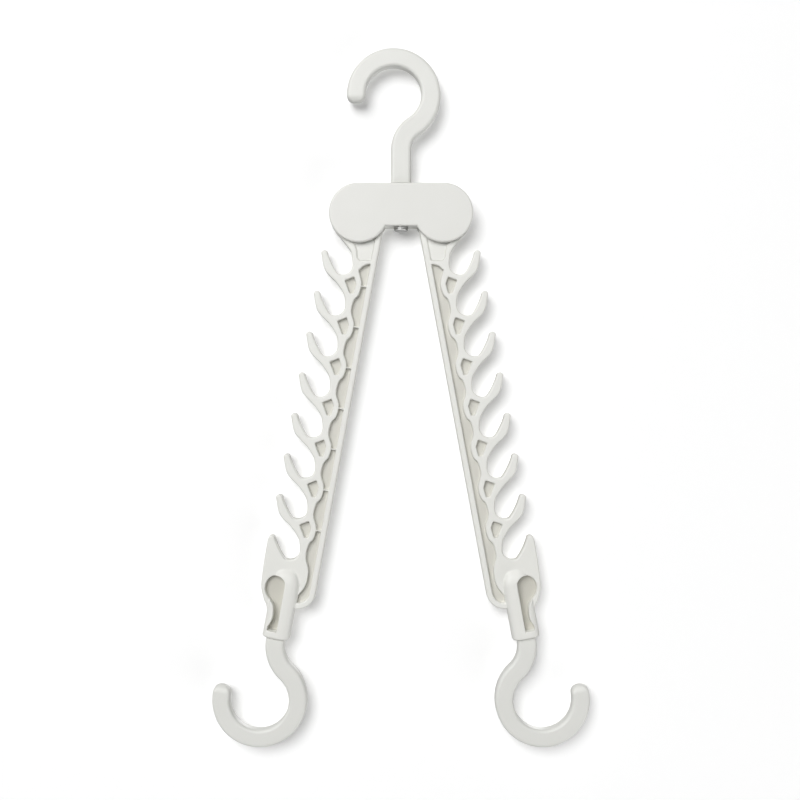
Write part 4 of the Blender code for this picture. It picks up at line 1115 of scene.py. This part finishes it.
WALL_DEPTH = 0.0078
WALL_SPAN = 1.6
WALL_COLOUR = (0.96, 0.96, 0.96)
WALL_GLOW_LOW = (-0.46, 0.13)
WALL_GLOW_HIGH = (0.01, 0.105)
WALL_BOUNCE = 0.58
WALL_SQUARE_ON = 0.99
WALL_CLEARANCE = 0.08
WALL_FREE = 0.999
ROOM_LIGHT = 0.11
MAIN_TOWARD = (0.37, 1.0, -0.48)
MAIN_STRENGTH = 2.48
MAIN_SPREAD = 46
FILL_TOWARD = (-0.9, 0.15, 1.0)
FILL_STRENGTH = 1.4
FILL_SPREAD = 50
REAR_TOWARD = (-0.30, -1.0, -0.35)
REAR_STRENGTH = 1.15
REAR_SPREAD = 30
TOP_LAMP_PLACE = (-0.36, -0.76, 0.32)
TOP_LAMP_AIM = (0.0, 0.0, -0.09)
TOP_LAMP_SIZE = 0.45
TOP_LAMP_POWER = 1.1


def white_wall():
    """White where it takes light and shadow, for the camera, and a plain pale glow for the other rays.

    Its own glow grows towards its foot by as much as the lamps fall off, so all of it is just white. Light
    passes through it from behind, and it shows only where it faces the front and nothing stands close
    behind it, so it hides nothing when the hanger is seen from behind, or when it or a hook is turned.
    """
    finish, tree = new_finish("wall_white")
    tree.nodes.remove(tree.nodes["Principled BSDF"])
    path = added(tree, 'ShaderNodeLightPath', {})
    surface = added(tree, 'ShaderNodeNewGeometry', {})

    def combined(operation, a, b):
        """One value worked out from two: the higher one, or 1 where the first is less than the second."""
        return added(tree, 'ShaderNodeMath', {0: a, 1: b}, operation=operation)[0]

    height = added(tree, 'ShaderNodeSeparateXYZ', {0: object_place(tree)})['Z']
    glow = ranged(tree, height, *zip(WALL_GLOW_LOW, WALL_GLOW_HIGH))
    even = added(tree, 'ShaderNodeEmission', {'Strength': glow})[0]
    matt = added(tree, 'ShaderNodeBsdfDiffuse', {'Color': (*WALL_COLOUR, 1)})[0]
    seen = added(tree, 'ShaderNodeAddShader', {0: matt, 1: even})[0]
    bounce = added(tree, 'ShaderNodeEmission', {'Strength': WALL_BOUNCE})[0]
    lit = added(tree, 'ShaderNodeMixShader', {0: path['Is Camera Ray'], 1: bounce, 2: seen})[0]

    facing = added(tree, 'ShaderNodeVectorMath', {0: surface['Normal'], 1: (0, -1, 0)},
                   operation='DOT_PRODUCT')['Value']
    turned = combined('LESS_THAN', facing, WALL_SQUARE_ON)
    behind = added(tree, 'ShaderNodeAmbientOcclusion', {'Distance': WALL_CLEARANCE}, inside=True)['AO']
    opened = combined('LESS_THAN', behind, WALL_FREE)
    passes = combined('MAXIMUM', path['Is Shadow Ray'], surface['Backfacing'])
    clear = added(tree, 'ShaderNodeBsdfTransparent', {})[0]
    share = combined('MAXIMUM', combined('MAXIMUM', passes, turned), opened)
    mix = added(tree, 'ShaderNodeMixShader', {0: share, 1: lit, 2: clear})[0]
    tree.links.new(mix, tree.nodes["Material Output"].inputs['Surface'])
    return finish


half_span = WALL_SPAN / 2
wall_mesh = bpy.data.meshes.new("wall")
wall_mesh.from_pydata([(x * half_span, WALL_DEPTH, z * half_span + VIEW_CENTRE[1])
                       for x, z in ((-1, -1), (1, -1), (1, 1), (-1, 1))], [], [(0, 1, 2, 3)])
wall_mesh.materials.append(white_wall())
wall = placed("wall", wall_mesh)
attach(wall, "housing")


def shine(name, kind, strength, toward, place=(0, 0, 0)):
    """A lamp of the given kind at a place, turned so that its light runs along a direction."""
    lamp = bpy.data.lights.new(name, kind)
    lamp.energy = strength
    holder = placed(name, lamp)
    holder.location = place
    holder.rotation_euler = Vector(toward).to_track_quat('-Z', 'Y').to_euler()
    return lamp


shine("main_light", 'SUN', MAIN_STRENGTH, MAIN_TOWARD).angle = math.radians(MAIN_SPREAD)
shine("low_fill", 'SUN', FILL_STRENGTH, FILL_TOWARD).angle = math.radians(FILL_SPREAD)
shine("rear_light", 'SUN', REAR_STRENGTH, REAR_TOWARD).angle = math.radians(REAR_SPREAD)
top_lamp = shine("top_lamp", 'AREA', TOP_LAMP_POWER, Vector(TOP_LAMP_AIM) - Vector(TOP_LAMP_PLACE),
                 TOP_LAMP_PLACE)
top_lamp.shape = 'DISK'
top_lamp.size = TOP_LAMP_SIZE

world = bpy.data.worlds.new("pale_room")
world.use_nodes = True
room = world.node_tree.nodes["Background"]
room.inputs['Color'].default_value = (1, 1, 1, 1)
diffuse = added(world.node_tree, 'ShaderNodeLightPath', {})['Is Diffuse Ray']
strength = ranged(world.node_tree, diffuse, (0.0, 1.0), (1.0, ROOM_LIGHT))
world.node_tree.links.new(strength, room.inputs['Strength'])
bpy.context.scene.world = world
